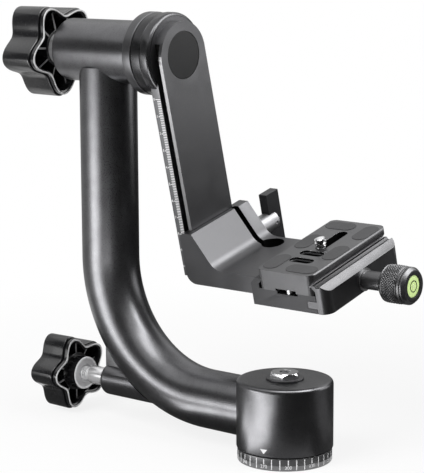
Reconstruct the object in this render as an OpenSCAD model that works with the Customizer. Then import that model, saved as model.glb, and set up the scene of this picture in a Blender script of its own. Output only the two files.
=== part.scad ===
// Gimbal tripod head: a curved arm pans on a base, a swinging arm hangs from its tilt axle,
// and a bracket that slides along the swinging arm carries a dovetail clamp and a camera plate.
// Millimetres, +Z up. The origin is the centre of the base's underside, on the pan axis.

/* [Base] */
// Height of the degree ring
ring_h = 7; // [6:0.5:9]
// Diameter of the panning housing
housing_d = 54; // [50:0.5:60]
// Height of the panning housing
housing_h = 37.9; // [37:0.1:44]
// Width across the flats of the pan bolt's head
bolt_flats = 15; // [12:0.5:17]
// Height of the pan bolt's head
bolt_head_h = 3; // [2:0.5:5]
// Diameter of the pan spindle
spindle_d = 16; // [14:0.5:17]

/* [Curved arm] */
// Outer diameter of the arm's tube
arm_d = 33.8; // [30:0.2:34.6]
// Wall of the arm's tube
arm_wall = 4.4; // [3:0.2:6]
// Height of the lower tube's axis above the base
arm_z = 25; // [25:0.5:28]
// Distance from the pan axis to the upright tube's axis
arm_reach = 129.7; // [120:0.5:140]
// Radius of the bend, on the tube's axis
bend_r = 75.5; // [60:0.5:85]
// Height of the tilt axis above the base
tilt_z = 221; // [210:1:240]

/* [Tilt axle] */
// Diameter of the axle's tube
axle_tube_d = 36.5; // [35:0.5:40]
// Length of the axle's tube on the knob's side of the upright
axle_out = 28.2; // [22:0.5:32]
// Length of the axle's tube on the swinging arm's side of the upright
axle_in = 32.2; // [26:0.5:36]
// Diameter of the fixed flange
flange_d = 47.4; // [46:0.2:52]
// Thickness of the fixed flange
flange_t = 6.1; // [5.5:0.1:8]
// Diameter of the turning flange
disc_d = 46.8; // [44:0.2:50]
// Thickness of the turning flange
disc_t = 6.7; // [6:0.1:8]
// Diameter of the tilt shaft
shaft_d = 16; // [14:0.5:17]

/* [Swinging arm] */
// Angle at which the swinging arm hangs, off the vertical
swing_deg = 14.3; // [0:0.1:30]
// Width of the swinging arm
swing_w = 38; // [36:0.5:42]
// Length from the tilt axis to the arm's lower end
swing_l = 128.7; // [120:0.5:150]
// Thickness of the arm's back rail, which carries the ruler
rail_t = 5.8; // [5:0.1:8]
// Width of the groove on each side between the back rail and the front rail
groove_w = 3.7; // [3.4:0.1:5]
// Depth of the groove on each side
groove_deep = 3.4; // [2.5:0.1:4]
// Thickness of the arm's front rail
front_t = 2.2; // [2:0.1:3]
// Diameter of the boss on the arm's back
boss_d = 47.6; // [44:0.2:50]
// Diameter of the cap over the arm's screws
cap_d = 27.2; // [25.6:0.2:30]

/* [Bracket] */
// Width of the bracket on the near side of the arm
bracket_near = 24.1; // [23:0.1:30]
// Width of the bracket on the lever's side of the arm
bracket_far = 29.9; // [29:0.1:34]
// Length from the bracket's back to the clamp
bracket_l = 57.8; // [54:0.2:66]
// Thickness of the bracket's foot
foot_t = 10.6; // [10:0.1:13]
// Height of the bracket's back above its foot
bracket_rise = 20.8; // [20:0.2:30]
// Width of the top of the bracket's back
bracket_top = 8.9; // [8:0.1:12]
// Run of the slanted face
slant_run = 13.2; // [11:0.2:16]
// Radius of the bracket's lower corner
bracket_corner = 6.5; // [4:0.5:8]
// Width of the slit that the lever closes
slit_w = 3.8; // [3:0.1:4.5]
// Diameter of the relief hole at the slit's end
relief_d = 13.5; // [11:0.1:15]
// Length of the lever's wings, tip to tip
wing_l = 35.7; // [30:0.1:40]
// Thickness of the lever's wings
wing_t = 5.7; // [4.5:0.1:6.5]
// Diameter of the lever's hub
lever_hub_d = 12; // [11:0.2:14]

/* [Clamp and plate] */
// Width of the dovetail at its base
dovetail_w = 38; // [36:0.5:42]
// Depth of the plate's V grooves
vee = 3.1; // [2.5:0.1:3.5]
// Thickness of the camera plate
plate_t = 11.7; // [11:0.1:14]
// Length of the camera plate
plate_l = 74; // [60:1:90]
// Length of the clamp
clamp_l = 71.6; // [62:0.2:80]
// Thickness of the moving jaw
jaw_t = 7.3; // [7:0.1:9]
// How far the moving jaw opens
jaw_travel = 6.25; // [4:0.25:6.25]
// Radius of the camera screw's thread, 1/4 inch
camera_thread_r = 3.175; // [3:0.005:3.4]
// Height of the camera screw above the plate
camera_screw_h = 5.8; // [4.5:0.1:7]
// Length of the plate's slot
slot_l = 26.8; // [22:0.2:28]

/* [Knobs] */
// Mean radius of the tilt knob's rim
tilt_knob_r = 23.4; // [21:0.2:28]
// Depth of the tilt knob
tilt_knob_l = 26; // [22:0.5:30]
// Mean radius of the pan knob's rim
pan_knob_r = 18.9; // [18:0.2:24]
// Depth of the pan knob
pan_knob_l = 21; // [20:0.5:28]
// Diameter of the clamp's knurled knob
clamp_knob_d = 21.4; // [20:0.2:26]
// Length of the clamp's knurled knob
clamp_knob_l = 17; // [15:0.5:22]
// Length of the neck between the moving jaw and the knurled knob
clamp_neck_l = 14.4; // [10:0.2:18]
// Diameter of the level in the end of the clamp's knob
level_d = 12.4; // [10:0.2:13]
// Diameter of the knobs' metal hubs
hub_d = 19.8; // [17:0.2:21]

/* [Hidden] */
$fn = 64;

// Clearances, and the overrun of every cut
fit = 0.05;
run = 0.1;
gap = 0.3;
weld = 0.05;
seam = 0.5;
over = 1;
edge = 0.6;

// Levels and radii of the base
thread_r = 3.97;
thread_deep = 11.5;
nose_r = 6;
nose_roof = 1.4;
nose_h = thread_deep + nose_roof;
ring_wall = 1.5;
washer_t = 0.5;
housing_r = housing_d / 2;
ring_step = 0.6;
ring_r = housing_r - ring_step;
disc_r = ring_r - ring_wall - fit;
housing_z0 = ring_h + washer_t + run;
housing_z1 = housing_z0 + housing_h;
housing_round = 2.5;
housing_roof = 1.5;
housing_clear = 0.4;
spindle_r = spindle_d / 2;
spindle_flange_t = 3;
spindle_flange_in = 6.85;
spindle_flange_r = disc_r - spindle_flange_in;
spindle_top = housing_z1 + run;
pan_bush_wall = 4;
pan_bush_l = 6;
pan_bore_r = spindle_r + pan_bush_wall;
well_clear = 1;
well_r = spindle_flange_r + well_clear;
well_h = spindle_flange_t - washer_t + seam;
bolt_r = 4;
bolt_l = 16;
bolt_washer_r = 10.5;
bolt_washer_t = 0.8;
socket_r = 3.3;
socket_deep = 2;
screw_r = 2;
screw_head_r = 3.8;
spindle_screw_in = 4.5;
spindle_screw_at = spindle_flange_r - spindle_screw_in;

// The curved arm and what locks the panning
arm_r = arm_d / 2;
arm_bore = arm_r - arm_wall;
bend_x = bend_r - arm_reach;
bend_z = arm_z + bend_r;
spigot_step = 3;
spigot_r = arm_r - spigot_step;
spigot_deep = 8;
spigot_x = -housing_r + spigot_deep;
stub_r = 9.6;
stub_round = 3;
stub_beyond = 3;
stub_x0 = -arm_reach - stub_beyond;
sleeve_r = 7;
gusset_t = 8.6;
gusset_in = 1.3;
gusset_h = 27;
gusset_l = 14;
stud_r = 4;
lock_bush_r = 5.55;
lock_bush_l = 26;
lock_bush_out = 13.2;
push_rod_r = 3.5;
guide_l = 8;
shoe_r = 5.9;
shoe_in = 6;
shoe_x0 = shoe_in - housing_r;
pan_knob_gap = 9.6;
pan_knob_x = stub_x0 - lock_bush_out - pan_knob_gap;
pan_hub_out = 3.8;
lobe_share = 0.163;
lobes = 5;
knob_rim = 4;
knob_notch = 0.8;
knob_wall = 2.2;
knob_flare = 1.2;
knob_round = 2.4;
rib_turn = 17;
stud_reach = 28.2;
stud_x = stub_x0 + stud_reach;

// Stations along the tilt axle, from the knob to the swinging arm
axle_x0 = -arm_reach - axle_out;
axle_x1 = -arm_reach + axle_in;
axle_tube_r = axle_tube_d / 2;
shaft_r = shaft_d / 2;
shaft_thread_r = 5;
tilt_bush_wall = 2;
axle_bore = shaft_r + tilt_bush_wall;
tilt_bush_l = 14;
axle_hollow_wall = 4;
flange_x1 = axle_x1 + flange_t;
disc_x0 = flange_x1 + gap;
disc_x1 = disc_x0 + disc_t;
friction_t = 1.3;
friction_proud = gap - run;
friction_bore = 2.2;
friction_r0 = shaft_r + friction_bore;
friction_rim = 3;
friction_r1 = flange_d / 2 - friction_rim;
flange_screw_at = (axle_bore + axle_tube_r) / 2;
flange_screw_r = 1.6;
flange_screw_head = 3.2;
press_washer_r = 12;
press_washer_t = 2.4;
tilt_knob_gap = 6.1;
tilt_knob_x = axle_x0 - tilt_knob_gap;
tilt_hub_x = axle_x0 - run - press_washer_t;
shaft_beyond = 12;
shaft_end = tilt_knob_x - shaft_beyond;
pivot_r = 6;
pivot_l = 3;

// The swinging arm, whose depths are X stations and whose drops are along the arm
boss_proud = 0.9;
rail_x0 = disc_x1 + boss_proud;
rail_x1 = rail_x0 + rail_t;
front_x0 = rail_x1 + groove_w;
front_x1 = front_x0 + front_t;
boss_round = 2.2;
neck_w = swing_w - 2 * groove_deep;
cap_t = 1.6;
cap_deep = 4;
arm_screw_r = 1.9;
arm_screw_head = 3.4;
arm_screw_head_t = 2;
arm_screw_at = cap_d / 2 - arm_screw_head - seam;
arm_screw_l = 14;
stop_r = 4;
stop_t = 2.2;
stop_shank = 2;
stop_up = 3.7;
stop_drop = swing_l - stop_up;

// The bracket, at rest on the stop screw
foot_under = 0.8;
foot_drop = stop_drop - stop_r - foot_under;
foot_low = foot_drop + foot_t;
back_x = rail_x1 + gap;
hook_x = front_x0 - gap + run;
slot_x = front_x1 + gap;
slot_half = swing_w / 2 + gap - run;
throat_half = neck_w / 2 + gap - run;
back_drop = foot_drop - bracket_rise;
back_round = 3.5;
slant_fillet = 10;
slant_deg = atan2(bracket_rise, slant_run);
foot_end = back_x + bracket_l;
slit_y = 16.9;
relief_in = 30.5;
relief_x = back_x + relief_in;
relief_y = slit_y + slit_w;
tongue_t = 5.8;
tongue_l = 14.6;
tongue_half = 14;
lever_in = 11.6;
lever_x = back_x + lever_in;
lever_up = 2.6;
lever_drop = foot_drop - lever_up;
lever_screw_r = 3;
lever_screw_in = 22;
lever_hub_l = 15.9;
hub_y0 = bracket_far + run;
hub_y1 = hub_y0 + lever_hub_l;
wing_w = 11.6;
wing_bite = 5.3;
lever_pin_r = 1;

// The clamp, the plate and their screws
flange_half = dovetail_w / 2;
side_clear = gap;
inner_half = flange_half + side_clear;
lip_wall = 5.5;
plate_x = foot_end + lip_wall + inner_half;
neck_half = flange_half - vee;
plate_low = foot_drop - gap;
plate_top = plate_low - plate_t;
dovetail_edge = 2.3;
neck_drop = plate_low - dovetail_edge - vee;
lip_clear = 0.14;
lip_rise = 0.2;
lip_top = neck_drop - lip_rise;
lip_gap = 1;
lip_half = neck_half + lip_gap;
body_half = plate_x - foot_end;
body_x1 = plate_x + inner_half - gap;
jaw_x0 = plate_x + inner_half;
jaw_x1 = jaw_x0 + jaw_t;
jaw_bevel = 3.4;
jaw_corner = 6;
jaw_tongue_l = jaw_travel + fit;
jaw_tongue_t = 4.2;
tongue_under = 3.6;
jaw_tongue_drop = foot_drop + tongue_under;
pocket_x = jaw_x0 - jaw_tongue_l - 2 * run;
pin_r = 2;
pin_at = 22;
pin_drop = jaw_tongue_drop + jaw_tongue_t / 2;
pin_hold = 20;
pin_x0 = body_x1 - jaw_travel - pin_hold;
pin_short = 1.8;
pin_x1 = jaw_x1 - pin_short;
spring_r0 = 2.3;
spring_r1 = 3.3;
spring_l = 10;
jaw_screw_r = 3;
jaw_screw_under = 4.2;
jaw_screw_drop = foot_drop + jaw_screw_under;
jaw_screw_x0 = pin_x0;
clamp_screw_r = 2.5;
clamp_screw_head = 4.5;
clamp_screw_y = 9;
clamp_screw_in = 7.6;
floor_groove_w = 13.8;
floor_groove_deep = 1.7;
groove_land = 8;
under_groove = 1.4;
slot_r = 3.3;
slot_near = -0.5;
slot_far = slot_near + slot_l - 2 * slot_r;
slot_floor = 4;
slot_chamber = 7;
key_slot_w = 3.6;
key_slot_l = 13;
key_sink = 1.2;
key_sink_t = 1.2;
key_slot_y = -9.4;
key_slot_step = 9.9;
plate_corner = 4.75;
pad_w = 9.8;
pad_l = 19.5;
pad_t = 1;
pad_proud = 0.3;
pad_x = 12.9;
pad_far = 24.5;
pad_mid = 4.8;
end_pad_x = 7.5;
end_pad_y = 29.5;
stop_pin_r = 2.4;
stop_pin_y = 33;
stop_pin_deep = 5;
washer_r = 6;
screw_head_t = 3.2;
screw_neck_r = 2.9;
washer_drop = plate_top + slot_floor + run;
screw_washer_t = 0.8;
coin_slot_w = 1.4;

// The clamp's knob, past the moving jaw
thrust_t = 0.6;
thrust_r = 6.5;
knob_neck_r = 5.2;
knob_x0 = jaw_x1 + thrust_t + clamp_neck_l;
knob_x1 = knob_x0 + clamp_knob_l;
knob_grip = 11.5;
bezel_wall = 2.3;
level_deep = 6.5;

// Points of a round stretch, from angle a0 to angle a1
function arc(x, y, r, a0, a1, n = 8) =
    [for (i = [0:n]) let (a = a0 + (a1 - a0) * i / n) [x + r * cos(a), y + r * sin(a)]];
// Points of a five-lobed outline whose lobes stand lobe beyond the mean radius
function lobed(r, lobe, n = 80) =
    [for (i = [0:n - 1]) let (a = 360 * i / n) (r - lobe * cos(lobes * a)) * [cos(a), sin(a)]];

// Places its children so that their XY plane faces +X at x
module facing_x(x) translate([x, 0, 0]) rotate([90, 0, 90]) children();
// A rod along X
module rod_x(x0, x1, r) facing_x(x0) cylinder(h = x1 - x0, r = r);
// A washer or bush along X
module ring_x(x0, x1, r1, r0) difference() {
    rod_x(x0, x1, r1);
    rod_x(x0 - over, x1 + over, r0);
}
// A disc along X with bevelled rims
module disc_x(x0, x1, r, bevel) facing_x(x0) rotate_extrude()
    polygon([
        [0, 0], [r - bevel, 0], [r, bevel], [r, x1 - x0 - bevel],
        [r - bevel, x1 - x0], [0, x1 - x0]]);
// A countersunk screw that points along +Z from its head at 0
module countersunk(l, r, head) {
    cylinder(h = l, r = r);
    cylinder(h = head - r, r1 = head, r2 = r);
}
// An upright ring round the pan axis
module ring_z(z0, z1, r1, r0) difference() {
    translate([0, 0, z0]) cylinder(h = z1 - z0, r = r1);
    translate([0, 0, z0 - over]) cylinder(h = z1 - z0 + 2 * over, r = r0);
}
// Copies its children at equal angles round Z
module around(n, at, start = 0) for (i = [0:n - 1]) rotate(start + 360 * i / n)
    translate([at, 0, 0]) children();
// The frame of the tilt axis
module on_axle() translate([0, 0, tilt_z]) children();
// The frame of the swinging arm: Z runs up the arm from the tilt axis
module on_swing() on_axle() rotate([swing_deg, 0, 0]) children();
// Extrudes a side view, drawn in X and Z, from y0 to y1
module side_view(y0, y1) translate([0, y1, 0]) rotate([90, 0, 0])
    linear_extrude(y1 - y0) children();
// A block between two corners
module block(low, high) translate(low) cube(high - low);

// The base
module spindle_screw_places() around(3, spindle_screw_at, 90) children();
module base_disc() color("dimgray") difference() {
    union() {
        cylinder(h = ring_h, r = disc_r);
        cylinder(h = nose_h, r = nose_r);
    }
    translate([0, 0, -over]) cylinder(h = thread_deep + over, r = thread_r);
    spindle_screw_places() {
        translate([0, 0, -over]) cylinder(h = ring_h + 2 * over, r = screw_r + fit);
        translate([0, 0, -fit]) countersunk(screw_head_r, screw_r + fit, screw_head_r + fit);
        translate([0, 0, -over]) cylinder(h = over + fit, r = screw_head_r + fit);
    }
}
module degree_ring() color("#4a4c50") rotate_extrude() polygon([
    [ring_r - ring_wall, 0], [ring_r - edge, 0], [ring_r, edge], [ring_r, ring_h],
    [ring_r - ring_wall, ring_h]]);
module spindle_screws() color("silver") spindle_screw_places()
    countersunk(ring_h + spindle_flange_t - seam, screw_r, screw_head_r);
module pan_spindle() color("silver") difference() {
    union() {
        translate([0, 0, ring_h]) cylinder(h = spindle_flange_t, r = spindle_flange_r);
        translate([0, 0, ring_h]) cylinder(h = spindle_top - ring_h, r = spindle_r);
    }
    translate([0, 0, ring_h - over]) cylinder(h = nose_h - ring_h + over + fit, r = nose_r + fit);
    translate([0, 0, spindle_top - bolt_l - seam])
        cylinder(h = bolt_l + seam + over, r = bolt_r + fit);
    spindle_screw_places() translate([0, 0, ring_h - over])
        cylinder(h = over + spindle_flange_t - seam / 2, r = screw_r + fit);
}
module pan_washer() color("black")
    ring_z(ring_h, ring_h + washer_t, disc_r - edge, spindle_flange_r + gap);
module bolt_washer() color("#2c2d30")
    ring_z(spindle_top, spindle_top + bolt_washer_t, bolt_washer_r, bolt_r + fit);
module pan_bolt() color("silver") difference() {
    union() {
        translate([0, 0, spindle_top - bolt_l])
            cylinder(h = bolt_l + bolt_washer_t + over, r = bolt_r);
        translate([0, 0, spindle_top + bolt_washer_t]) intersection() {
            cylinder(h = bolt_head_h, d = bolt_flats / cos(30), $fn = 6);
            cylinder(h = bolt_head_h, r1 = bolt_flats / 2 + bolt_head_h, r2 = bolt_flats / 2);
        }
    }
    translate([0, 0, spindle_top + bolt_washer_t + bolt_head_h - socket_deep])
        cylinder(h = socket_deep + over, r = socket_r, $fn = 6);
}

// The panning housing and the curved arm
module pan_housing() color("#3b3c40") difference() {
    translate([0, 0, housing_z0]) rotate_extrude() polygon(concat(
        [[spindle_r + housing_clear, 0], [housing_r - edge, 0], [housing_r, edge]],
        arc(housing_r - housing_round, housing_h - housing_round, housing_round, 0, 90),
        [[spindle_r + housing_clear, housing_h]]));
    translate([0, 0, housing_z0 - over]) cylinder(h = well_h + over, r = well_r);
    translate([0, 0, housing_z0]) cylinder(h = housing_h - housing_roof, r = pan_bore_r + fit);
    translate([0, 0, arm_z]) {
        rod_x(-housing_r - over, spigot_x + fit, spigot_r + fit);
        rod_x(-housing_r, -spindle_r, shoe_r + run);
    }
}
module pan_bushes() color("goldenrod") {
    low = housing_z0 + well_h + seam;
    high = housing_z1 - housing_roof - fit;
    ring_z(low, low + pan_bush_l, pan_bore_r, spindle_r + fit);
    ring_z(high - pan_bush_l, high, pan_bore_r, spindle_r + fit);
}
// The arm's route as a solid of radius r: along the base, round the bend and up
module arm_route(r) {
    translate([0, 0, arm_z]) rod_x(bend_x, -housing_r + housing_r / 2, r);
    translate([bend_x, 0, bend_z]) rotate([90, 0, 0]) rotate([0, 0, 180])
        rotate_extrude(angle = 90) translate([bend_r, 0]) circle(r);
    translate([-arm_reach, 0, bend_z]) cylinder(h = tilt_z - bend_z, r = r);
}
module arm_tube() color("#3b3c40") {
    difference() {
        arm_route(arm_r);
        arm_route(arm_bore);
        translate([0, 0, -over]) cylinder(h = housing_z1 + over, r = housing_r + weld);
        on_axle() rod_x(axle_x0 - over, axle_x1 + over, axle_tube_r + weld);
        translate([0, 0, arm_z]) rod_x(stub_x0, bend_x - bend_r / 2, sleeve_r + fit);
    }
    translate([0, 0, arm_z])
        ring_x(-housing_r - arm_wall, spigot_x, spigot_r, arm_bore);
}
module lock_stub() color("#3b3c40") translate([0, 0, arm_z]) difference() {
    union() {
        difference() {
            facing_x(stub_x0) rotate_extrude() polygon(concat(
                [[0, 0]], arc(stub_r - stub_round, stub_round, stub_round, -90, 0),
                [[stub_r, bend_r / 2 + over], [0, bend_r / 2 + over]]));
            translate([0, 0, -arm_z]) arm_route(arm_r + seam);
        }
        rod_x(stub_x0 + stub_round, bend_x - bend_r / 2, sleeve_r);
    }
    rod_x(stub_x0 - over, stub_x0 + lock_bush_l - lock_bush_out, lock_bush_r + fit);
    rod_x(stub_x0, bend_x, stud_r + seam);
}
module arm_gusset($fn = 240) color("#8d8f92") difference() {
    block([stub_x0 + stub_beyond - gusset_in, -gusset_t / 2, arm_z],
        [stub_x0 + stub_beyond - gusset_in + gusset_l, gusset_t / 2, arm_z + gusset_h]);
    translate([0, 0, arm_z]) rod_x(stub_x0, bend_x, stub_r + weld);
    arm_route(arm_r + weld);
}
module lock_bush() color("gainsboro") translate([0, 0, arm_z])
    ring_x(stub_x0 - lock_bush_out, stub_x0 + lock_bush_l - lock_bush_out - fit,
        lock_bush_r, stud_r + fit);
module rod_guide() color("goldenrod") translate([0, 0, arm_z])
    ring_x(-housing_r - guide_l, -housing_r, arm_bore - fit, push_rod_r + fit);

// The tilt axle's tube, its flange and its bushes
module axle_tube() color("#3b3c40") on_axle() difference() {
    disc_x(axle_x0, axle_x1, axle_tube_r, edge);
    rod_x(axle_x0 - over, axle_x1 + over, axle_bore);
    rod_x(axle_x0 + tilt_bush_l, axle_x1 - tilt_bush_l, axle_tube_r - axle_hollow_wall);
    flange_screw_places() rod_x(axle_x1 - tilt_bush_l + over, axle_x1 + over, flange_screw_r + fit);
}
module flange_screw_places() for (i = [0:2]) rotate([90 + 120 * i, 0, 0])
    translate([0, flange_screw_at, 0]) children();
module axle_flange() color("#55575b") on_axle() difference() {
    disc_x(axle_x1, flange_x1, flange_d / 2, edge);
    rod_x(axle_x1 - over, flange_x1 + over, shaft_r + edge);
    ring_x(flange_x1 - friction_t + friction_proud, flange_x1 + over,
        friction_r1 + run, friction_r0 - run);
    flange_screw_places() {
        rod_x(axle_x1 - over, flange_x1, flange_screw_r + fit);
        facing_x(flange_x1 - friction_t + friction_proud + over) mirror([0, 0, 1]) {
            cylinder(h = over, r = flange_screw_head + fit);
            translate([0, 0, over])
                countersunk(flange_t, flange_screw_r + fit, flange_screw_head + fit);
        }
    }
}
module flange_screws() color("silver") on_axle() flange_screw_places()
    facing_x(flange_x1 - friction_t + friction_proud - fit) mirror([0, 0, 1])
        countersunk(tilt_bush_l, flange_screw_r, flange_screw_head);
module tilt_bushes() color("goldenrod") on_axle() {
    ring_x(axle_x0, axle_x0 + tilt_bush_l, axle_bore - fit, shaft_r + fit);
    ring_x(axle_x1 - tilt_bush_l, axle_x1, axle_bore - fit, shaft_r + fit);
}
module friction_washer() color("black") on_axle()
    ring_x(flange_x1 - friction_t + friction_proud, flange_x1 + friction_proud,
        friction_r1, friction_r0);

// What locks the panning: a rod and a shoe pushed by the knob's stud
module push_rod() color("silver") translate([0, 0, arm_z])
    rod_x(stud_x + run, shoe_x0, push_rod_r);
module brake_shoe() color("#c9a227") difference() {
    translate([0, 0, arm_z]) rod_x(shoe_x0, -spindle_r + over, shoe_r);
    translate([0, 0, housing_z0]) cylinder(h = housing_h, r = spindle_r + run);
}
module pan_lock_stud() color("silver") translate([0, 0, arm_z])
    rod_x(pan_knob_x - pan_knob_l / 2, stud_x, stud_r);
// A hollow five-lobed knob that faces +X, with its rim at 0: r is the rim's mean radius
module star_knob(r, depth, hub_l) {
    floor_t = depth / 3;
    lobe = r * lobe_share;
    facing_x(0) {
        difference() {
            union() {
                translate([0, 0, -knob_rim]) linear_extrude(knob_rim) polygon(lobed(r, lobe));
                translate([0, 0, -knob_rim - knob_notch]) linear_extrude(knob_notch)
                    polygon(lobed(r - knob_notch, lobe));
                translate([0, 0, -depth + knob_round])
                    linear_extrude(depth - knob_rim - knob_notch - knob_round)
                        polygon(lobed(r + knob_flare, lobe));
                translate([0, 0, -depth + knob_round]) mirror([0, 0, 1])
                    linear_extrude(knob_round, scale = 1 - knob_round / r)
                        polygon(lobed(r + knob_flare, lobe));
            }
            translate([0, 0, -depth + floor_t]) linear_extrude(depth)
                polygon(lobed(r - knob_wall, lobe));
            translate([0, 0, -depth + floor_t / 2])
                cylinder(h = depth, r = hub_d / 2 + fit);
        }
        difference() {
            union() {
                translate([0, 0, -depth + floor_t / 2])
                    cylinder(h = hub_l, r = hub_d / 2 + knob_wall);
                for (side = [-1, 1])
                    around(lobes, hub_d / 2 + knob_wall / 2, 180 / lobes + side * rib_turn)
                        translate([0, -knob_wall / 4, -depth + floor_t - edge])
                            cube([r - hub_d / 2 - knob_wall, knob_wall / 2, hub_l - floor_t / 2]);
            }
            translate([0, 0, -depth]) cylinder(h = 2 * depth, r = hub_d / 2 + fit);
        }
    }
}
module pan_knob() color("#1c1c1f") translate([pan_knob_x, 0, arm_z])
    star_knob(pan_knob_r, pan_knob_l, pan_knob_l * 2 / 3);
module pan_knob_hub() color("#9a9c9f") translate([0, 0, arm_z])
    ring_x(pan_knob_x - pan_knob_l * 5 / 6 + fit, pan_knob_x + pan_hub_out,
        hub_d / 2, stud_r + fit);

// What swings on the tilt axle
module arm_screw_places() for (i = [0:2]) rotate([90 + 120 * i, 0, 0])
    translate([0, arm_screw_at, 0]) children();
module tilt_shaft() color("#6e7074") on_swing() difference() {
    union() {
        disc_x(disc_x0, disc_x1, disc_d / 2, edge);
        rod_x(axle_x0 + edge, disc_x0 + edge, shaft_r);
        rod_x(shaft_end, axle_x0 + over, shaft_thread_r);
        rod_x(disc_x1 - over, disc_x1 + pivot_l, pivot_r);
    }
    arm_screw_places() rod_x(disc_x1 - disc_t + edge, disc_x1 + over, arm_screw_r + fit);
}
// The arm's front view: round at the top, square at the bottom, as wide as w allows
module arm_outline(w) intersection() {
    union() {
        circle(d = swing_w);
        translate([-swing_w / 2, -swing_l]) square([swing_w, swing_l]);
    }
    translate([-w / 2, -swing_l - over]) square([w, 2 * swing_l]);
}
module swing_arm() color("#46484c") on_swing() difference() {
    union() {
        facing_x(rail_x0) linear_extrude(rail_t) arm_outline(swing_w);
        facing_x(rail_x1) linear_extrude(groove_w) arm_outline(neck_w);
        facing_x(front_x0) linear_extrude(front_t) arm_outline(swing_w);
        facing_x(disc_x1) rotate_extrude() polygon(concat(
            [[0, 0], [boss_d / 2 - edge, 0], [boss_d / 2, edge]],
            arc(boss_d / 2 - boss_round, rail_x1 - disc_x1 - boss_round, boss_round, 0, 90),
            [[0, rail_x1 - disc_x1]]));
    }
    rod_x(front_x1 - cap_deep, front_x1 + over, cap_d / 2);
    rod_x(disc_x1 - over, disc_x1 + pivot_l + fit, pivot_r + fit);
    arm_screw_places() rod_x(disc_x1 - over, front_x1, arm_screw_r + fit);
    translate([0, 0, -stop_drop]) rod_x(rail_x0 + over, front_x1 + over, stop_shank + fit);
}
module arm_screws() color("#2c2d30") on_swing() arm_screw_places() {
    rod_x(front_x1 - cap_deep - arm_screw_l, front_x1 - cap_deep, arm_screw_r);
    rod_x(front_x1 - cap_deep, front_x1 - cap_deep + arm_screw_head_t, arm_screw_head);
}
module arm_cap() color("#303136") on_swing()
    rod_x(front_x1 - cap_t, front_x1, cap_d / 2 - fit);
module stop_screw() color("silver") on_swing() translate([0, 0, -stop_drop]) {
    rod_x(rail_x1 - stop_t, front_x1, stop_shank);
    disc_x(front_x1, front_x1 + stop_t, stop_r, edge);
}
module press_washer() color("silver") on_swing()
    ring_x(axle_x0 - run - press_washer_t, axle_x0 - run, press_washer_r, shaft_thread_r + fit);
module tilt_knob() color("#1c1c1f") on_swing() translate([tilt_knob_x, 0, 0])
    star_knob(tilt_knob_r, tilt_knob_l, tilt_knob_l * 2 / 3);
module tilt_knob_hub() color("#9a9c9f") on_swing()
    ring_x(tilt_knob_x - tilt_knob_l * 5 / 6 + fit, tilt_hub_x, hub_d / 2, shaft_thread_r + fit);

// The bracket on the swinging arm, a side view of its back, slanted face and foot
module bracket_view() {
    slant_x = back_x + bracket_top + slant_run;
    fillet_x = slant_x + slant_fillet * tan(slant_deg / 2);
    polygon(concat(
        [[foot_end - weld, -foot_drop]],
        arc(fillet_x, slant_fillet - foot_drop, slant_fillet, -90, -90 - slant_deg),
        [[back_x + bracket_top, -back_drop]],
        arc(back_x + back_round, -back_drop - back_round, back_round, 90, 180),
        arc(back_x + bracket_corner, bracket_corner - foot_low, bracket_corner, 180, 270),
        [[foot_end - weld, -foot_low]]));
}
module bracket() color("#46484c") on_swing() difference() {
    union() {
        side_view(-bracket_near, bracket_far) bracket_view();
        block([foot_end - over, -tongue_half, -foot_low],
            [foot_end + tongue_l, tongue_half, tongue_t - foot_low]);
    }
    block([hook_x, -slot_half, -foot_low - over], [slot_x, slot_half, over - back_drop]);
    block([back_x - over, -throat_half, -foot_low - over],
        [hook_x + over, throat_half, over - back_drop]);
    block([slot_x - over, -stop_r - gap, -foot_low - over],
        [slot_x + stop_t + run, stop_r + gap, run + stop_r - stop_drop]);
    block([slot_x, slit_y, -foot_low - over], [relief_x, slit_y + slit_w, over - back_drop]);
    translate([relief_x, relief_y, -foot_low - over])
        cylinder(h = foot_t + slant_fillet + 2 * over, d = relief_d);
    translate([lever_x, bracket_far + over, -lever_drop]) rotate([90, 0, 0])
        cylinder(h = bracket_far - slit_y + lever_screw_in + over, r = lever_screw_r + fit);
    clamp_screw_places() countersunk(tongue_t + over, clamp_screw_r + fit, clamp_screw_head + fit);
}
module clamp_screw_places() for (side = [-1, 1])
    translate([foot_end + clamp_screw_in, side * clamp_screw_y, -foot_low]) children();
module clamp_screws() color("#2c2d30") on_swing() clamp_screw_places()
    countersunk(foot_t - over, clamp_screw_r, clamp_screw_head);

// The lever that closes the slit
module on_lever() translate([lever_x, 0, -lever_drop]) children();
module rod_y(y0, y1, r) translate([0, y1, 0]) rotate([90, 0, 0]) cylinder(h = y1 - y0, r = r);
module lever_screw() color("silver") on_swing() on_lever()
    rod_y(slit_y - lever_screw_in + seam, hub_y1 - wing_bite - seam, lever_screw_r);
module lever_hub() color("#b4b6b9") on_swing() on_lever() difference() {
    rod_y(hub_y0, hub_y1, lever_hub_d / 2);
    rod_y(hub_y0 - over, hub_y1 - wing_bite - seam / 2, lever_screw_r + fit);
    block([-wing_t / 2 - fit, hub_y1 - wing_bite, -lever_hub_d],
        [wing_t / 2 + fit, hub_y1 + over, lever_hub_d]);
    facing_x(-lever_hub_d) translate([hub_y1 - wing_bite / 2, 0, 0])
        cylinder(h = 2 * lever_hub_d, r = lever_pin_r + fit);
}
module lever_wings() color("#1c1c1f") on_swing() on_lever() difference() {
    block([-wing_t / 2, hub_y1 - wing_bite + fit, -wing_l / 2],
        [wing_t / 2, hub_y1 - wing_bite + wing_w, wing_l / 2]);
    facing_x(-lever_hub_d) translate([hub_y1 - wing_bite / 2, 0, 0])
        cylinder(h = 2 * lever_hub_d, r = lever_pin_r + fit);
}
module lever_pin() color("silver") on_swing() on_lever()
    facing_x(-lever_hub_d / 2 + seam) translate([hub_y1 - wing_bite / 2, 0, 0])
        cylinder(h = lever_hub_d - 2 * seam, r = lever_pin_r);

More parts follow.
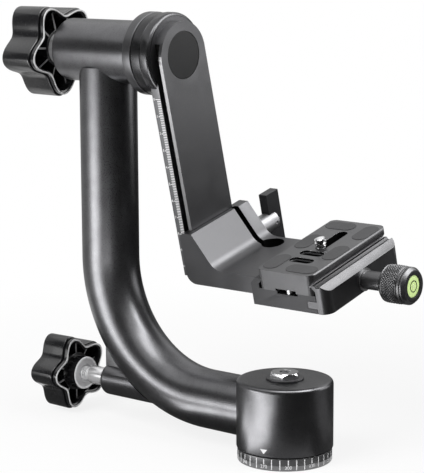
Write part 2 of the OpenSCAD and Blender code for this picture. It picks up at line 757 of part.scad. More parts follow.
// The clamp: a side view of one lip, drawn for the +X side of the plate
function lip(outer) = [
    [plate_x + inner_half, -neck_drop - inner_half + neck_half + lip_clear],
    [plate_x + lip_half, -neck_drop - over + lip_clear],
    [plate_x + lip_half, -lip_top - edge],
    [plate_x + lip_half + edge, -lip_top],
    [plate_x + outer, -lip_top]];
module clamp_view() {
    polygon([
        [foot_end, -foot_low], [body_x1, -foot_low], [body_x1, -foot_drop],
        [plate_x - inner_half - fit, -foot_drop], [foot_end, -foot_drop]]);
    translate([2 * plate_x, 0]) mirror([1, 0]) polygon(concat(
        [[plate_x + body_half, -foot_drop - over], [plate_x + inner_half, -foot_drop - over]],
        lip(body_half - jaw_bevel), [[plate_x + body_half, -lip_top - jaw_bevel]]));
}
// A groove in the clamp's floor, where a stop screw of the plate runs
module floor_groove(y0, y1) block(
    [plate_x - floor_groove_w / 2, y0, -foot_drop - floor_groove_deep],
    [plate_x + floor_groove_w / 2, y1, over - foot_drop]);
module jaw_pin_places() for (side = [-1, 1])
    translate([0, side * pin_at, -pin_drop]) children();
module clamp_body() color("#46484c") on_swing() difference() {
    side_view(-clamp_l / 2, clamp_l / 2) clamp_view();
    block([pocket_x, -clamp_l, -jaw_tongue_drop - jaw_tongue_t - 2 * run],
        [body_x1 + over, clamp_l, 2 * run - jaw_tongue_drop]);
    block([foot_end - over, -tongue_half - fit, -foot_low - over],
        [foot_end + tongue_l + fit, tongue_half + fit, tongue_t + fit - foot_low]);
    clamp_screw_places() cylinder(h = foot_t - over + fit, r = clamp_screw_r + fit);
    floor_groove(groove_land, clamp_l / 2 + over);
    floor_groove(-clamp_l / 2 - over, -groove_land);
    jaw_pin_places() {
        rod_x(pin_x0 - run, body_x1 + over, pin_r + run);
        rod_x(pocket_x - spring_l, pocket_x + over, spring_r1 + run);
    }
    translate([0, 0, -jaw_screw_drop]) rod_x(jaw_screw_x0 - run, body_x1 + over, jaw_screw_r + fit);
}
module jaw_view() polygon(concat(
    [[jaw_x0, -foot_low], [jaw_x0, -jaw_tongue_drop - jaw_tongue_t],
    [jaw_x0 - jaw_tongue_l, -jaw_tongue_drop - jaw_tongue_t],
    [jaw_x0 - jaw_tongue_l, -jaw_tongue_drop], [jaw_x0, -jaw_tongue_drop]],
    lip(inner_half - edge / 2),
    [[jaw_x0 + edge / 2, -lip_top - 2 * edge], [jaw_x0 + jaw_t - jaw_bevel - 2 * edge,
        -lip_top - 2 * edge], [jaw_x1 - jaw_bevel - edge, -lip_top],
    [jaw_x1, -lip_top - jaw_bevel], [jaw_x1, -foot_low]]));
module clamp_jaw() color("#2b2c30") on_swing() difference() {
    intersection() {
        side_view(-clamp_l / 2, clamp_l / 2) jaw_view();
        translate([0, 0, -2 * foot_low]) linear_extrude(2 * foot_low) union() {
            translate([0, -clamp_l / 2]) square([jaw_x1 - jaw_corner, clamp_l]);
            translate([jaw_x1 - jaw_corner - over, jaw_corner - clamp_l / 2])
                square([jaw_corner + over, clamp_l - 2 * jaw_corner]);
            for (side = [-1, 1]) translate([jaw_x1 - jaw_corner, side * (clamp_l / 2 - jaw_corner)])
                circle(jaw_corner);
        }
    }
    translate([0, 0, -jaw_screw_drop]) rod_x(0, jaw_x1 + over, jaw_screw_r + 2 * run);
    jaw_pin_places() rod_x(0, pin_x1 + fit, pin_r + fit);
}
module guide_pins() color("silver") on_swing() jaw_pin_places() rod_x(pin_x0, pin_x1, pin_r);
module jaw_springs() color("silver") on_swing() jaw_pin_places()
    ring_x(pocket_x - spring_l + run, pocket_x + run, spring_r1, spring_r0);
module thrust_washer() color("silver") on_swing() translate([0, 0, -jaw_screw_drop])
    ring_x(jaw_x1, jaw_x1 + thrust_t, thrust_r, jaw_screw_r + 2 * run);
module jaw_screw() color("silver") on_swing() translate([0, 0, -jaw_screw_drop])
    rod_x(jaw_screw_x0, knob_x0 + clamp_knob_l - level_deep - 2 * edge, jaw_screw_r);
module clamp_knob() color("#2b2c30") on_swing() translate([0, 0, -jaw_screw_drop]) difference() {
    union() {
        rod_x(jaw_x1 + thrust_t + run, knob_x0 + over, knob_neck_r);
        facing_x(knob_x0) rotate_extrude() polygon([
            [0, 0], [clamp_knob_d / 2 - 2 * edge, 0], [clamp_knob_d / 2, 2 * edge],
            [clamp_knob_d / 2, knob_grip], [clamp_knob_d / 2 - edge, knob_grip + edge],
            [clamp_knob_d / 2 - edge, knob_grip + 2 * edge],
            [clamp_knob_d / 2 - edge / 2, knob_grip + 2 * edge],
            [clamp_knob_d / 2 - edge / 2, clamp_knob_l - 2 * edge],
            [clamp_knob_d / 2 - 2.5 * edge, clamp_knob_l], [0, clamp_knob_l]]);
    }
    rod_x(jaw_x1, knob_x1 - level_deep - edge, jaw_screw_r + fit);
    rod_x(knob_x1 - level_deep, knob_x1 + over, level_d / 2 + bezel_wall + fit);
}
module level_bezel() color("black") on_swing() translate([0, 0, -jaw_screw_drop])
    ring_x(knob_x1 - level_deep, knob_x1, level_d / 2 + bezel_wall, level_d / 2 + fit);
module level_vial() color("#cdf08a") on_swing() translate([0, 0, -jaw_screw_drop])
    rod_x(knob_x1 - level_deep, knob_x1 - edge / 2, level_d / 2);

// The camera plate, its pads and stops, and the camera screw in its slot
module plate_view() translate([plate_x, 0]) polygon(concat(
    [for (s = [-1, 1]) [s * flange_half, -plate_low]],
    [[flange_half, dovetail_edge - plate_low], [neck_half, -neck_drop],
    [flange_half, vee - neck_drop], [flange_half, -plate_top - edge],
    [flange_half - edge, -plate_top], [edge - flange_half, -plate_top],
    [-flange_half, -plate_top - edge], [-flange_half, vee - neck_drop],
    [-neck_half, -neck_drop], [-flange_half, dovetail_edge - plate_low]]));
module stadium(l, r) {
    square([2 * r, l - 2 * r], center = true);
    for (side = [-1, 1]) translate([0, side * (l / 2 - r)]) circle(r);
}
// Four pads along the plate, and one across it in two opposite corners
module pad_places() translate([plate_x, 0, -plate_top - pad_t + pad_proud]) for (side = [-1, 1]) {
    for (y = [pad_far, -pad_mid]) translate([side * pad_x, side * y]) children();
    translate([-side * end_pad_x, side * end_pad_y]) rotate(90) children();
}
module stop_pin_places() for (side = [-1, 1])
    translate([plate_x, side * stop_pin_y, under_groove - plate_low]) children();
module camera_plate() color("#4b4d51") on_swing() difference() {
    intersection() {
        side_view(-plate_l / 2, plate_l / 2) plate_view();
        translate([plate_x, 0, -2 * foot_low]) linear_extrude(2 * foot_low) {
            square([dovetail_w - 2 * plate_corner, plate_l + over], center = true);
            square([dovetail_w + over, plate_l - 2 * plate_corner], center = true);
            for (sx = [-1, 1], sy = [-1, 1])
                translate([sx * (flange_half - plate_corner), sy * (plate_l / 2 - plate_corner)])
                    circle(plate_corner);
        }
    }
    block([plate_x - floor_groove_w / 2, -plate_l, -plate_low - over],
        [plate_x + floor_groove_w / 2, plate_l, under_groove - plate_low]);
    translate([plate_x, (slot_near + slot_far) / 2, -plate_low - over])
        linear_extrude(plate_t + 2 * over) stadium(slot_l, slot_r);
    translate([plate_x, (slot_near + slot_far) / 2, -plate_low - over])
        linear_extrude(plate_t - slot_floor + over)
            stadium(slot_l - 2 * slot_r + 2 * slot_chamber, slot_chamber);
    for (i = [0:1]) translate([plate_x, key_slot_y - i * key_slot_step, -plate_top]) rotate(90) {
        translate([0, 0, -plate_t - over]) linear_extrude(plate_t + 2 * over)
            stadium(key_slot_l, key_slot_w / 2);
        translate([0, 0, -key_sink_t]) linear_extrude(key_sink_t + over)
            stadium(key_slot_l + 2 * key_sink, key_slot_w / 2 + key_sink);
    }
    pad_places() linear_extrude(pad_t + over) stadium(pad_l + 2 * fit, pad_w / 2 + fit);
    stop_pin_places() translate([0, 0, -over])
        cylinder(h = stop_pin_deep + over + fit, r = stop_shank - seam + fit);
}
module rubber_pads() color("#26272a") on_swing() pad_places()
    linear_extrude(pad_t) stadium(pad_l, pad_w / 2);
module plate_stops() color("silver") on_swing() stop_pin_places() {
    cylinder(h = stop_pin_deep, r = stop_shank - seam);
    translate([0, 0, -under_groove - gap - floor_groove_deep + seam / 2])
        cylinder(h = under_groove + gap + floor_groove_deep - seam / 2, r = stop_pin_r);
}
module on_camera_screw() translate([plate_x, slot_near, 0]) children();
module screw_washer() color("black") on_swing() on_camera_screw()
    ring_z(-washer_drop - screw_washer_t, -washer_drop, washer_r, screw_neck_r + fit);
module camera_screw() color("silver") on_swing() on_camera_screw() {
    head_top = -washer_drop - screw_washer_t - fit;
    difference() {
        union() {
            translate([0, 0, head_top - screw_head_t]) cylinder(h = screw_head_t, r = washer_r);
            translate([0, 0, head_top - over])
                cylinder(h = over - plate_top - head_top + over, r = screw_neck_r);
            translate([0, 0, -plate_top + 2 * run])
                cylinder(h = camera_screw_h - 2 * run, r = camera_thread_r);
        }
        block([-washer_r - over, -coin_slot_w / 2, head_top - screw_head_t - over],
            [washer_r + over, coin_slot_w / 2, head_top - screw_head_t / 2]);
    }
}

base_disc();
degree_ring();
spindle_screws();
pan_spindle();
pan_washer();
bolt_washer();
pan_bolt();
pan_housing();
pan_bushes();
arm_tube();
lock_stub();
arm_gusset();
lock_bush();
rod_guide();
axle_tube();
axle_flange();
flange_screws();
tilt_bushes();
friction_washer();
push_rod();
brake_shoe();
pan_knob();
pan_knob_hub();
pan_lock_stud();
tilt_shaft();
swing_arm();
arm_screws();
arm_cap();
stop_screw();
press_washer();
tilt_knob();
tilt_knob_hub();
bracket();
clamp_body();
clamp_screws();
lever_screw();
lever_hub();
lever_wings();
lever_pin();
clamp_jaw();
guide_pins();
jaw_springs();
thrust_washer();
jaw_screw();
clamp_knob();
level_bezel();
level_vial();
camera_plate();
rubber_pads();
plate_stops();
screw_washer();
camera_screw();
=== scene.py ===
# %% [markdown]
# # A gimbal tripod head
# The real object is a heavy-lens tripod head: a bent tube turns on a base, an arm hangs from the
# tube's upper end, and a bracket on that arm carries a clamp with a camera plate.
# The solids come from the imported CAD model. This lesson dresses them: some keep their shape and get
# a bevel, and others are made again with finer curves, knurls, threads and marks.

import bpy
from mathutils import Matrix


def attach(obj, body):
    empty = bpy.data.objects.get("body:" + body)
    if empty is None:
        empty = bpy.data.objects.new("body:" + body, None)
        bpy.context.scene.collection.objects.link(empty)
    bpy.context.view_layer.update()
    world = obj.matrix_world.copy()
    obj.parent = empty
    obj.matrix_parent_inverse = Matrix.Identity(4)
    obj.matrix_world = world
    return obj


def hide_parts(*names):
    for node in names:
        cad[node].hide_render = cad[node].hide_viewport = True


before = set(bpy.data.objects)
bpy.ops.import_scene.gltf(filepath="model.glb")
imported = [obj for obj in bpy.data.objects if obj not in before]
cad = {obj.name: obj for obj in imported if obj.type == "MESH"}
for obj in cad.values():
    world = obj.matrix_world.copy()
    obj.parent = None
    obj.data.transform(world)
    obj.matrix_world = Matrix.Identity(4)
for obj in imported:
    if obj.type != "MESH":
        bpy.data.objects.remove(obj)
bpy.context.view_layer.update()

# %% Tools and units
import math

import bmesh
import bpy
from mathutils import Matrix, Vector

MM = 0.001


def into_scene(name, data):
    """A new object with that data, linked to the scene."""
    thing = bpy.data.objects.new(name, data)
    bpy.context.scene.collection.objects.link(thing)
    return thing


# %% [markdown]
# ## The camera
# The photograph was taken with a long lens from the front right, a little above the head.
# A camera could be placed by eye. Here its numbers come from ellipses and edges measured in the
# picture, so that every piece falls where the photograph shows it.

# %% Camera
CAMERA_TURN, CAMERA_RISE, CAMERA_ROLL = 39.59, 9.82, -0.28
CAMERA_LENS, CAMERA_SENSOR = 136.97, 36
CAMERA_DISTANCE = 1.01541
LOOKED_AT = Vector((-0.05182, 0, 0.11968))


def toward(turn, rise):
    """The direction from the object to a point seen at that turn and rise, in degrees."""
    a, e = math.radians(turn), math.radians(rise)
    return Vector((math.sin(a) * math.cos(e), -math.cos(a) * math.cos(e), math.sin(e)))


camera = into_scene("camera", bpy.data.cameras.new("camera"))
camera.data.lens, camera.data.sensor_width = CAMERA_LENS, CAMERA_SENSOR
camera.data.clip_start, camera.data.clip_end = 0.01, 20
camera.location = LOOKED_AT + toward(CAMERA_TURN, CAMERA_RISE) * CAMERA_DISTANCE
camera.rotation_euler = (
    toward(CAMERA_TURN, CAMERA_RISE).to_track_quat("Z", "Y").to_matrix()
    @ Matrix.Rotation(math.radians(CAMERA_ROLL), 3, "Z")
).to_euler()
bpy.context.scene.camera = camera
bpy.context.scene.view_settings.view_transform = "Standard"
print("camera at", [round(v, 4) for v in camera.location])

# %% [markdown]
# ## Finishes
# Each finish starts the same way: a shader, and a place on the piece in Object coordinates, so a
# pattern stays put when the piece moves. Fine noise gives the surface its grain and a slower noise
# shifts its tone. Pictures could do this too, but noise works at any size and needs no unwrapping.

# %% Nodes


def put(tree, node, inputs):
    """Links a node's inputs to sockets, or sets them to plain values."""
    for key, value in inputs.items():
        if isinstance(value, bpy.types.NodeSocket):
            tree.links.new(value, node.inputs[key])
        else:
            node.inputs[key].default_value = value


def add_node(tree, kind, inputs=None, output=0, **settings):
    """Adds a node with its settings and inputs, and gives one of its outputs."""
    node = tree.nodes.new(kind)
    for setting, value in settings.items():
        setattr(node, setting, value)
    put(tree, node, inputs or {})
    return node.outputs[output]


# %% Shared steps of a finish
NOISE_LOW, NOISE_HIGH = 0.3, 0.7


class Finish:
    """A material in the making."""

    def __init__(self, name):
        self.material = bpy.data.materials.new(name)
        self.material.use_nodes = True
        self.tree = self.material.node_tree
        self.shader = self.tree.nodes["Principled BSDF"]

    def add(self, kind, inputs=None, output=0, **settings):
        return add_node(self.tree, kind, inputs, output, **settings)

    def set(self, **values):
        """Sets or links the shader's inputs, and gives the material."""
        put(self.tree, self.shader, {label.replace("_", " "): v for label, v in values.items()})
        return self.material

    def place(self):
        """The place on the piece."""
        return self.add("ShaderNodeTexCoord", output="Object")

    def noise(self, grain, detail=2.0, place=None):
        """Noise whose grains are that many millimetres across."""
        return self.add("ShaderNodeTexNoise", {
            "Vector": place or self.place(), "Scale": 1 / (grain * MM), "Detail": detail}, "Fac")

    def spread(self, value, low, high):
        """The noise brought into the range from low to high."""
        return self.add("ShaderNodeMapRange", {
            "Value": value, "From Min": NOISE_LOW, "From Max": NOISE_HIGH,
            "To Min": low, "To Max": high}, "Result")

    def tones(self, value, colour, share):
        """The colour, darker or lighter by up to that share as the noise goes."""
        toned = self.add("ShaderNodeValToRGB", {"Fac": value}, "Color")
        ends = zip(toned.node.color_ramp.elements, (NOISE_LOW, NOISE_HIGH), (1 - share, 1 + share))
        for end, position, strength in ends:
            end.position, end.color = position, (*[c * strength for c in colour], 1)
        return toned

    def relief(self, height, depth, strength):
        """Bump of that depth, in millimetres."""
        self.set(Normal=self.add("ShaderNodeBump", {
            "Height": height, "Distance": depth * MM, "Strength": strength}))


# %% [markdown]
# ## The studio
# Dark metal has no look of its own: it shows what stands round it. The photograph has a broad low
# light on the left, a high one on the right and black card between them.
# A lit world alone would turn the tubes an even grey. So two plain lamps light the head softly, and
# glowing panels and black cards, seen only in reflections, draw the highlights and the dark cores.

# %% Lamps
STUDIO_MIDDLE = Vector((-0.05, 0, 0.12))


def softbox(name, turn, rise, far, size, watts):
    """A rectangular lamp that faces the object from that turn off the camera."""
    lamp = bpy.data.lights.new(name, "AREA")
    lamp.shape, lamp.size, lamp.size_y, lamp.energy = "RECTANGLE", *size, watts
    box = into_scene(name, lamp)
    way = toward(CAMERA_TURN + turn, rise)
    box.location = STUDIO_MIDDLE + way * far
    box.rotation_euler = way.to_track_quat("Z", "Y").to_euler()
    box.visible_camera = box.visible_glossy = False


softbox("left_lamp", turn=-50, rise=40, far=0.9, size=(0.6, 0.6), watts=7)
softbox("right_lamp", turn=60, rise=50, far=0.9, size=(0.5, 0.5), watts=3)
print("lamps:", len(bpy.data.lights))

# %% White world
WORLD_GLOW, DIFFUSE_GLOW = 1.0, 0.3
world = bpy.data.worlds.new("studio_world")
bpy.context.scene.world = world
world.use_nodes = True


def seen_directly(tree):
    """1 for what the camera, a reflection or a view through glass sees, and 0 for soft light."""
    total, *others = [add_node(tree, "ShaderNodeLightPath", output=f"Is {ray} Ray")
                      for ray in ("Camera", "Glossy", "Transmission")]
    for other in others:
        total = add_node(tree, "ShaderNodeMath", {0: total, 1: other},
                         operation="ADD", use_clamp=True)
    return total


glow = add_node(world.node_tree, "ShaderNodeMapRange", {
    "Value": seen_directly(world.node_tree), "To Min": DIFFUSE_GLOW, "To Max": WORLD_GLOW})
put(world.node_tree, world.node_tree.nodes["Background"],
    {"Color": (1, 1, 1, 1), "Strength": glow})

# %% Pale floor
FLOOR_RADIUS, SHADOW_RADIUS, SHADOW_SHARE = 6.0, 0.55, 0.16


def floor_finish():
    """Almost plain white, with the object's shadow kept near it and fading outwards."""
    made = Finish("floor_paper")
    made.set(Base_Color=(0.9, 0.9, 0.9, 1), Roughness=0.9, Specular_IOR_Level=0)
    distance = made.add("ShaderNodeVectorMath", {0: made.place()}, "Value", operation="LENGTH")
    fade = made.add("ShaderNodeMapRange", {
        "Value": distance, "From Min": SHADOW_RADIUS / 4, "From Max": SHADOW_RADIUS,
        "To Min": 1 - SHADOW_SHARE, "To Max": 1}, interpolation_type="SMOOTHSTEP")
    share = made.add("ShaderNodeMath", {0: fade, 1: seen_directly(made.tree)}, operation="MULTIPLY")
    mix = made.add("ShaderNodeMixShader", {
        "Fac": share, 1: made.shader.outputs["BSDF"], 2: made.add("ShaderNodeEmission")})
    put(made.tree, made.tree.nodes["Material Output"], {"Surface": mix})
    return made.material


def studio_piece(name, points, faces, finish):
    mesh = bpy.data.meshes.new(name)
    mesh.from_pydata(points, [], faces)
    mesh.materials.append(finish)
    return into_scene(name, mesh)


corners = [(FLOOR_RADIUS * x, FLOOR_RADIUS * y, 0) for x, y in ((-1, -1), (1, -1), (1, 1), (-1, 1))]
studio_piece("floor", corners, [(0, 1, 2, 3)], floor_finish())

# %% Panels and cards
CARD_STEPS = 24


def card(name, turn0, turn1, outline, glow=0.0):
    """A black card or a glowing panel, bent round the object between two turns off the camera.
    Its outline is a list of distances and heights, from its near foot to its top."""
    points, rows = [], len(outline)
    for i in range(CARD_STEPS + 1):
        way = toward(CAMERA_TURN + turn0 + (turn1 - turn0) * i / CARD_STEPS, 0)
        points += [(STUDIO_MIDDLE.x + way.x * far, STUDIO_MIDDLE.y + way.y * far, height)
                   for far, height in outline]
    faces = [(a, a + rows, a + rows + 1, a + 1) for a in range(rows * CARD_STEPS) if (a + 1) % rows]
    finish = Finish(name).set(Base_Color=(0.004, 0.004, 0.004, 1), Roughness=0.9,
                              Emission_Color=(1, 1, 1, 1), Emission_Strength=glow)
    thing = studio_piece(name, points, faces, finish)
    thing.visible_camera = thing.visible_diffuse = thing.visible_shadow = False


FOOT, WALL = 0.003, 0.75
# Strips that lie on the floor: first and last turn, near and far edge, glow
for name, turn0, turn1, near, far, glow in (
        ("left_floor_near", -54, -14, 0.12, 0.34, 5.0),
        ("left_floor_nearest", -50, 0, 0.045, 0.12, 4.5),
        ("left_floor_far", -84, -57, 0.36, WALL, 6.5),
        ("left_floor_mid", -57, -42, 0.34, WALL, 2.0),
        ("left_floor_grey", -94, -54, 0.21, 0.36, 0.8),
        ("left_floor_dim", -120, -94, 0.21, 0.36, 0.3),
        ("left_floor_low", -68, -54, 0.1, 0.21, 0.3),
        ("left_floor_dark", -127, -68, 0.1, 0.21, 0.1),
        ("left_ring_dark", -127, -84, 0.045, 0.1, 0.1),
        ("left_ring_light", -84, -50, 0.045, 0.1, 4.5),
        ("near_floor", 0, 48, 0.045, 0.12, 0.3),
        ("under_card", 48, 233, 0.045, 0.13, 0.05),
        ("under_middle", 0, 360, 0.0, 0.045, 0.05)):
    card(name, turn0, turn1, [(near, FOOT), (far, FOOT)], glow)

# Upright strips: first and last turn, lower and upper edge, glow
for name, turn0, turn1, low, high, glow in (
        ("left_panel", -82, -50, FOOT, 0.075, 8.0),
        ("left_panel_upper", -90, -60, 0.075, 0.17, 2.2),
        ("left_high_card", -100, -8, 0.17, 0.62, 0.0),
        ("right_wall", 66, 84, 0.06, 0.6, 0.0),
        ("right_strip_low", 86, 116, 0.065, 0.13, 0.5),
        ("right_strip", 86, 116, 0.13, 0.3, 2.4),
        ("far_right_wall", 116, 150, 0.065, 0.45, 0.0),
        ("back_card", 150, 215, 0.0, 0.38, 0.22)):
    card(name, turn0, turn1, [(WALL, low), (WALL, high)], glow)

# Bent and leaning ones
card("left_floor_black", -42, -8, [(0.34, FOOT), (WALL, FOOT), (WALL, 0.17)])
card("far_left_card", -180, -97, [(0.36, FOOT), (WALL, FOOT), (WALL, 0.62)], 0.45)
card("front_card", -8, 66, [(0.1, FOOT), (WALL, FOOT), (WALL, 0.6)])
card("top_panel", -40, 50, [(0.45, 0.75), (0.2, 0.9)], 6.0)
card("right_floor", 66, 92, [(0.1, FOOT), (WALL, FOOT), (WALL, 0.06)], 0.22)
card("right_slant_panel", 84, 122, [(WALL, 0.45), (0.65, 0.72)], 3.2)
card("right_top_panel", 84, 122, [(0.65, 0.72), (0.35, 1.0)], 8.0)
card("right_corner_panel", 44, 84, [(0.72, 0.62), (0.6, 0.78), (0.38, 0.95)], 8.0)
card("far_right_card", 92, 178, [(0.13, FOOT), (WALL, FOOT), (WALL, 0.065)])

# %% [markdown]
# ## Satin coat on the tubes
# The tubes carry a dark coat with metal in it: it is grainy close by, and it shows lights as broad
# soft bands. So it is mostly metallic, with fine relief, and its roughness wanders a little.

# %% Satin coat


def satin_coat(name, colour, rough, metal=1.0):
    made = Finish(name)
    fine = made.noise(grain=0.35, detail=3)
    made.relief(fine, depth=0.015, strength=0.35)
    return made.set(Base_Color=made.tones(made.noise(grain=9, detail=4), colour, 0.12),
                    Roughness=made.spread(fine, rough - 0.05, rough + 0.07), Metallic=metal)


tube_coat = satin_coat("tube_coat", (0.15, 0.15, 0.156), 0.3)
web_coat = satin_coat("web_coat", (0.3, 0.3, 0.31), 0.42)
gusset_coat = satin_coat("gusset_coat", (0.11, 0.11, 0.113), 0.42)
lever_coat = satin_coat("lever_coat", (0.035, 0.035, 0.038), 0.32, metal=0.5)
print("coats:", tube_coat.name, web_coat.name, lever_coat.name)

# %% [markdown]
# ## Anodised aluminium
# The flat parts are milled, blasted with fine beads and anodised dark grey. The blasting leaves a
# grain of about a fifth of a millimetre that sparkles on slanted faces, so the noise drives both
# the relief and the roughness.

# %% Anodised aluminium


def anodised(name, colour, rough, sparkle=0.12):
    made = Finish(name)
    beads = made.noise(grain=0.22, detail=1)
    made.relief(beads, depth=0.012, strength=0.5)
    return made.set(Base_Color=made.tones(beads, colour, sparkle), Metallic=0.9,
                    Roughness=made.spread(made.noise(grain=14), rough - 0.04, rough + 0.04))


grey_anodised = anodised("grey_anodised", (0.1, 0.1, 0.104), 0.34)
dark_anodised = anodised("dark_anodised", (0.12, 0.12, 0.125), 0.38)
ring_anodised = anodised("ring_anodised", (0.19, 0.19, 0.194), 0.34)
clamp_anodised = anodised("clamp_anodised", (0.05, 0.05, 0.052), 0.52)
flange_black = anodised("flange_black", (0.05, 0.05, 0.052), 0.28, 0.05)
boss_black = anodised("boss_black", (0.075, 0.075, 0.078), 0.26, 0.05)
# painted shade: a near-black copy of the anodising, put on faces inside grooves, slits, holes and
# slots where shade falls
painted_shade_black = anodised("painted_shade_black", (0.004, 0.004, 0.004), 0.6, 0.02)
plate_anodised = anodised("plate_anodised", (0.12, 0.12, 0.124), 0.36, 0.2)
plate_side = anodised("plate_side", (0.12, 0.12, 0.124), 0.6, 0.1)
# painted highlight: a lighter copy of the jaw's anodising, for its upper outer bevel
jaw_bevel_painted_highlight = anodised("jaw_bevel_painted_highlight", (0.105, 0.105, 0.108), 0.42, 0.12)
rail_anodised = anodised("rail_anodised", (0.15, 0.15, 0.155), 0.36)
cut_edge = anodised("cut_edge", (0.24, 0.24, 0.245), 0.3, 0.03)
slot_edge = anodised("slot_edge", (0.42, 0.42, 0.43), 0.4, 0.03)
knob_anodised = anodised("knob_anodised", (0.13, 0.13, 0.133), 0.36)
black_anodised = anodised("black_anodised", (0.08, 0.08, 0.083), 0.34)

# %% [markdown]
# ## Moulded plastic, rubber and nylon
# The star knobs are glossy black plastic, whose surface waves by a few hundredths of a millimetre;
# their rim lips and ribs carry painted highlights in pale grey.
# The pads on the plate are dull rubber with a fine tooth.

# %% Plastic and rubber


def moulded_plastic(name, colour, rough, wave=5.0, depth=0.03, coat=0.0, shine=0.5):
    made = Finish(name)
    made.relief(made.noise(wave, detail=1), depth, strength=0.5)
    return made.set(Base_Color=made.tones(made.noise(grain=20), colour, 0.15),
                    Roughness=made.spread(made.noise(grain=1.2, detail=3), rough, rough + 0.08),
                    Coat_Weight=coat, Coat_Roughness=0.08, Specular_IOR_Level=shine)


knob_plastic = moulded_plastic("knob_plastic", (0.01, 0.01, 0.011), 0.2, coat=0.4)
# painted highlight: pale grey on the star knobs' black rim lip, standing in for light caught by the
# rim
rim_painted_highlight = moulded_plastic("rim_painted_highlight", (0.72, 0.72, 0.725), 0.3)
# painted highlight: pale grey on the open faces of the knobs' black ribs
rib_painted_highlight = moulded_plastic("rib_painted_highlight", (0.3, 0.3, 0.304), 0.3)
cap_plastic = moulded_plastic("cap_plastic", (0.018, 0.018, 0.019), 0.45, 0.5, 0.01, shine=0.3)
nylon = moulded_plastic("nylon", (0.02, 0.02, 0.02), 0.5, 0.4, 0.01)
pad_rubber = moulded_plastic("pad_rubber", (0.05, 0.05, 0.052), 0.72, 0.45, 0.05)

# %% [markdown]
# ## Bare and plated metal
# Turned parts carry fine rings from the lathe, which stretch a highlight across them. They are made
# with noise squeezed along the axis of turning. Plated parts are almost mirrors.

# %% Bare metal
SQUEEZE = 0.06


def turned_metal(name, colour, rough, along=(0, 0, 1), ring=0.25, depth=0.004, metal=1.0):
    made = Finish(name)
    squeezed = made.add("ShaderNodeMapping", {
        "Vector": made.place(), "Scale": [1 if a else SQUEEZE for a in along]})
    rings = made.noise(ring, place=squeezed)
    made.relief(rings, depth, strength=0.4)
    return made.set(Base_Color=made.tones(rings, colour, 0.06), Metallic=metal,
                    Roughness=made.spread(rings, rough * 0.8, rough * 1.3))


hub_metal = turned_metal("hub_metal", (0.7, 0.7, 0.71), 0.38, (1, 0, 0), metal=0.25)
# painted highlight: a near-white, barely metallic copy of the hub metal for the pan hub's rim and the
# lock thread's crests
painted_highlight_metal = turned_metal("painted_highlight_metal", (0.92, 0.92, 0.93), 0.3, (1, 0, 0), metal=0.1)
rod_plating = turned_metal("rod_plating", (0.92, 0.92, 0.93), 0.16, (1, 0, 0), 0.6, 0.002, 0.7)
screw_steel = turned_metal("screw_steel", (0.5, 0.5, 0.505), 0.3)
bright_plating = turned_metal("bright_plating", (0.86, 0.86, 0.87), 0.1, (1, 0, 0), 0.6, 0.002)
# painted shade: a near-black copy of the screw steel under the threads, standing in for shade between
# the crests
painted_shade_root = turned_metal("painted_shade_root", (0.03, 0.03, 0.03), 0.4)
bronze = turned_metal("bronze", (0.55, 0.36, 0.14), 0.35)

# %% Paint, glass and liquid


def plain_paint(name, colour, rough, glow=0.0):
    """Printed marks, and the level's liquid: thin paint with a little tone in it, and a painted glow
    when glow is given.
    """
    made = Finish(name)
    return made.set(Base_Color=made.tones(made.noise(grain=0.6), colour, 0.05), Roughness=rough,
                    Emission_Color=(*colour, 1), Emission_Strength=glow)


mark_white = plain_paint("mark_white", (0.82, 0.82, 0.83), 0.6)
# painted glow: the level's green liquid gives off light of its own, though it is no lamp
level_green_painted_glow = plain_paint("level_green_painted_glow", (0.68, 0.88, 0.36), 0.12, 0.22)
level_black = plain_paint("level_black", (0.01, 0.01, 0.01), 0.4)
# painted glow: the pale bubble gives off light of its own
bubble_painted_glow = plain_paint("bubble_painted_glow", (0.75, 0.9, 0.45), 0.08, 0.1)

# %% [markdown]
# ## Making pieces
# Most of the head is either turned or milled. A turned piece is one outline swept round its axis,
# so a single helper makes them all. A milled piece keeps its solid from the CAD model: its loose
# triangles are merged, and a bevel of a few tenths of a millimetre lets every edge catch the light.

# %% Places
TILT_HEIGHT, SWING_ANGLE, ARM_HEIGHT = 221, 14.3, 25

# Turned pieces are drawn round local Z. FACE_X turns local Z to X, local X to Y and local Y to Z.
FACE_X = Matrix(((0, 0, 1, 0), (1, 0, 0, 0), (0, 1, 0, 0), (0, 0, 0, 1)))
SWING = Matrix.Translation((0, 0, TILT_HEIGHT)) @ Matrix.Rotation(math.radians(SWING_ANGLE), 4, "X")


def at(x, y, z):
    return Matrix.Translation((x, y, z))


def on_arm_axis(x=0):
    """The axis of the lower tube, the lock and its knob."""
    return at(x, 0, ARM_HEIGHT) @ FACE_X


def on_tilt_axis(x=0):
    """The tilt axis, turned with the hanging arm."""
    return SWING @ at(x, 0, 0) @ FACE_X


# %% Meshes in millimetres


def new_piece(name, points, faces, place=None):
    """A mesh object from points in millimetres, with its place put into its points."""
    mesh = bpy.data.meshes.new(name)
    mesh.from_pydata([tuple(p) for p in points], [], faces)
    mesh.transform(Matrix.Scale(MM, 4) @ (place or Matrix.Identity(4)))
    mesh.update()
    return into_scene(name, mesh)


def smooth(piece, angle=32):
    """Soft shading, with sharp edges kept where faces meet at more than the angle."""
    piece.data.polygons.foreach_set("use_smooth", [True] * len(piece.data.polygons))
    piece.data.set_sharp_from_angle(angle=math.radians(angle))
    return piece


def with_modifiers(piece):
    """The piece with its modifiers made into its mesh."""
    graph = bpy.context.evaluated_depsgraph_get()
    mesh = bpy.data.meshes.new_from_object(piece.evaluated_get(graph), depsgraph=graph)
    piece.modifiers.clear()
    old, piece.data = piece.data, mesh
    bpy.data.meshes.remove(old)
    mesh.name = piece.name
    return piece


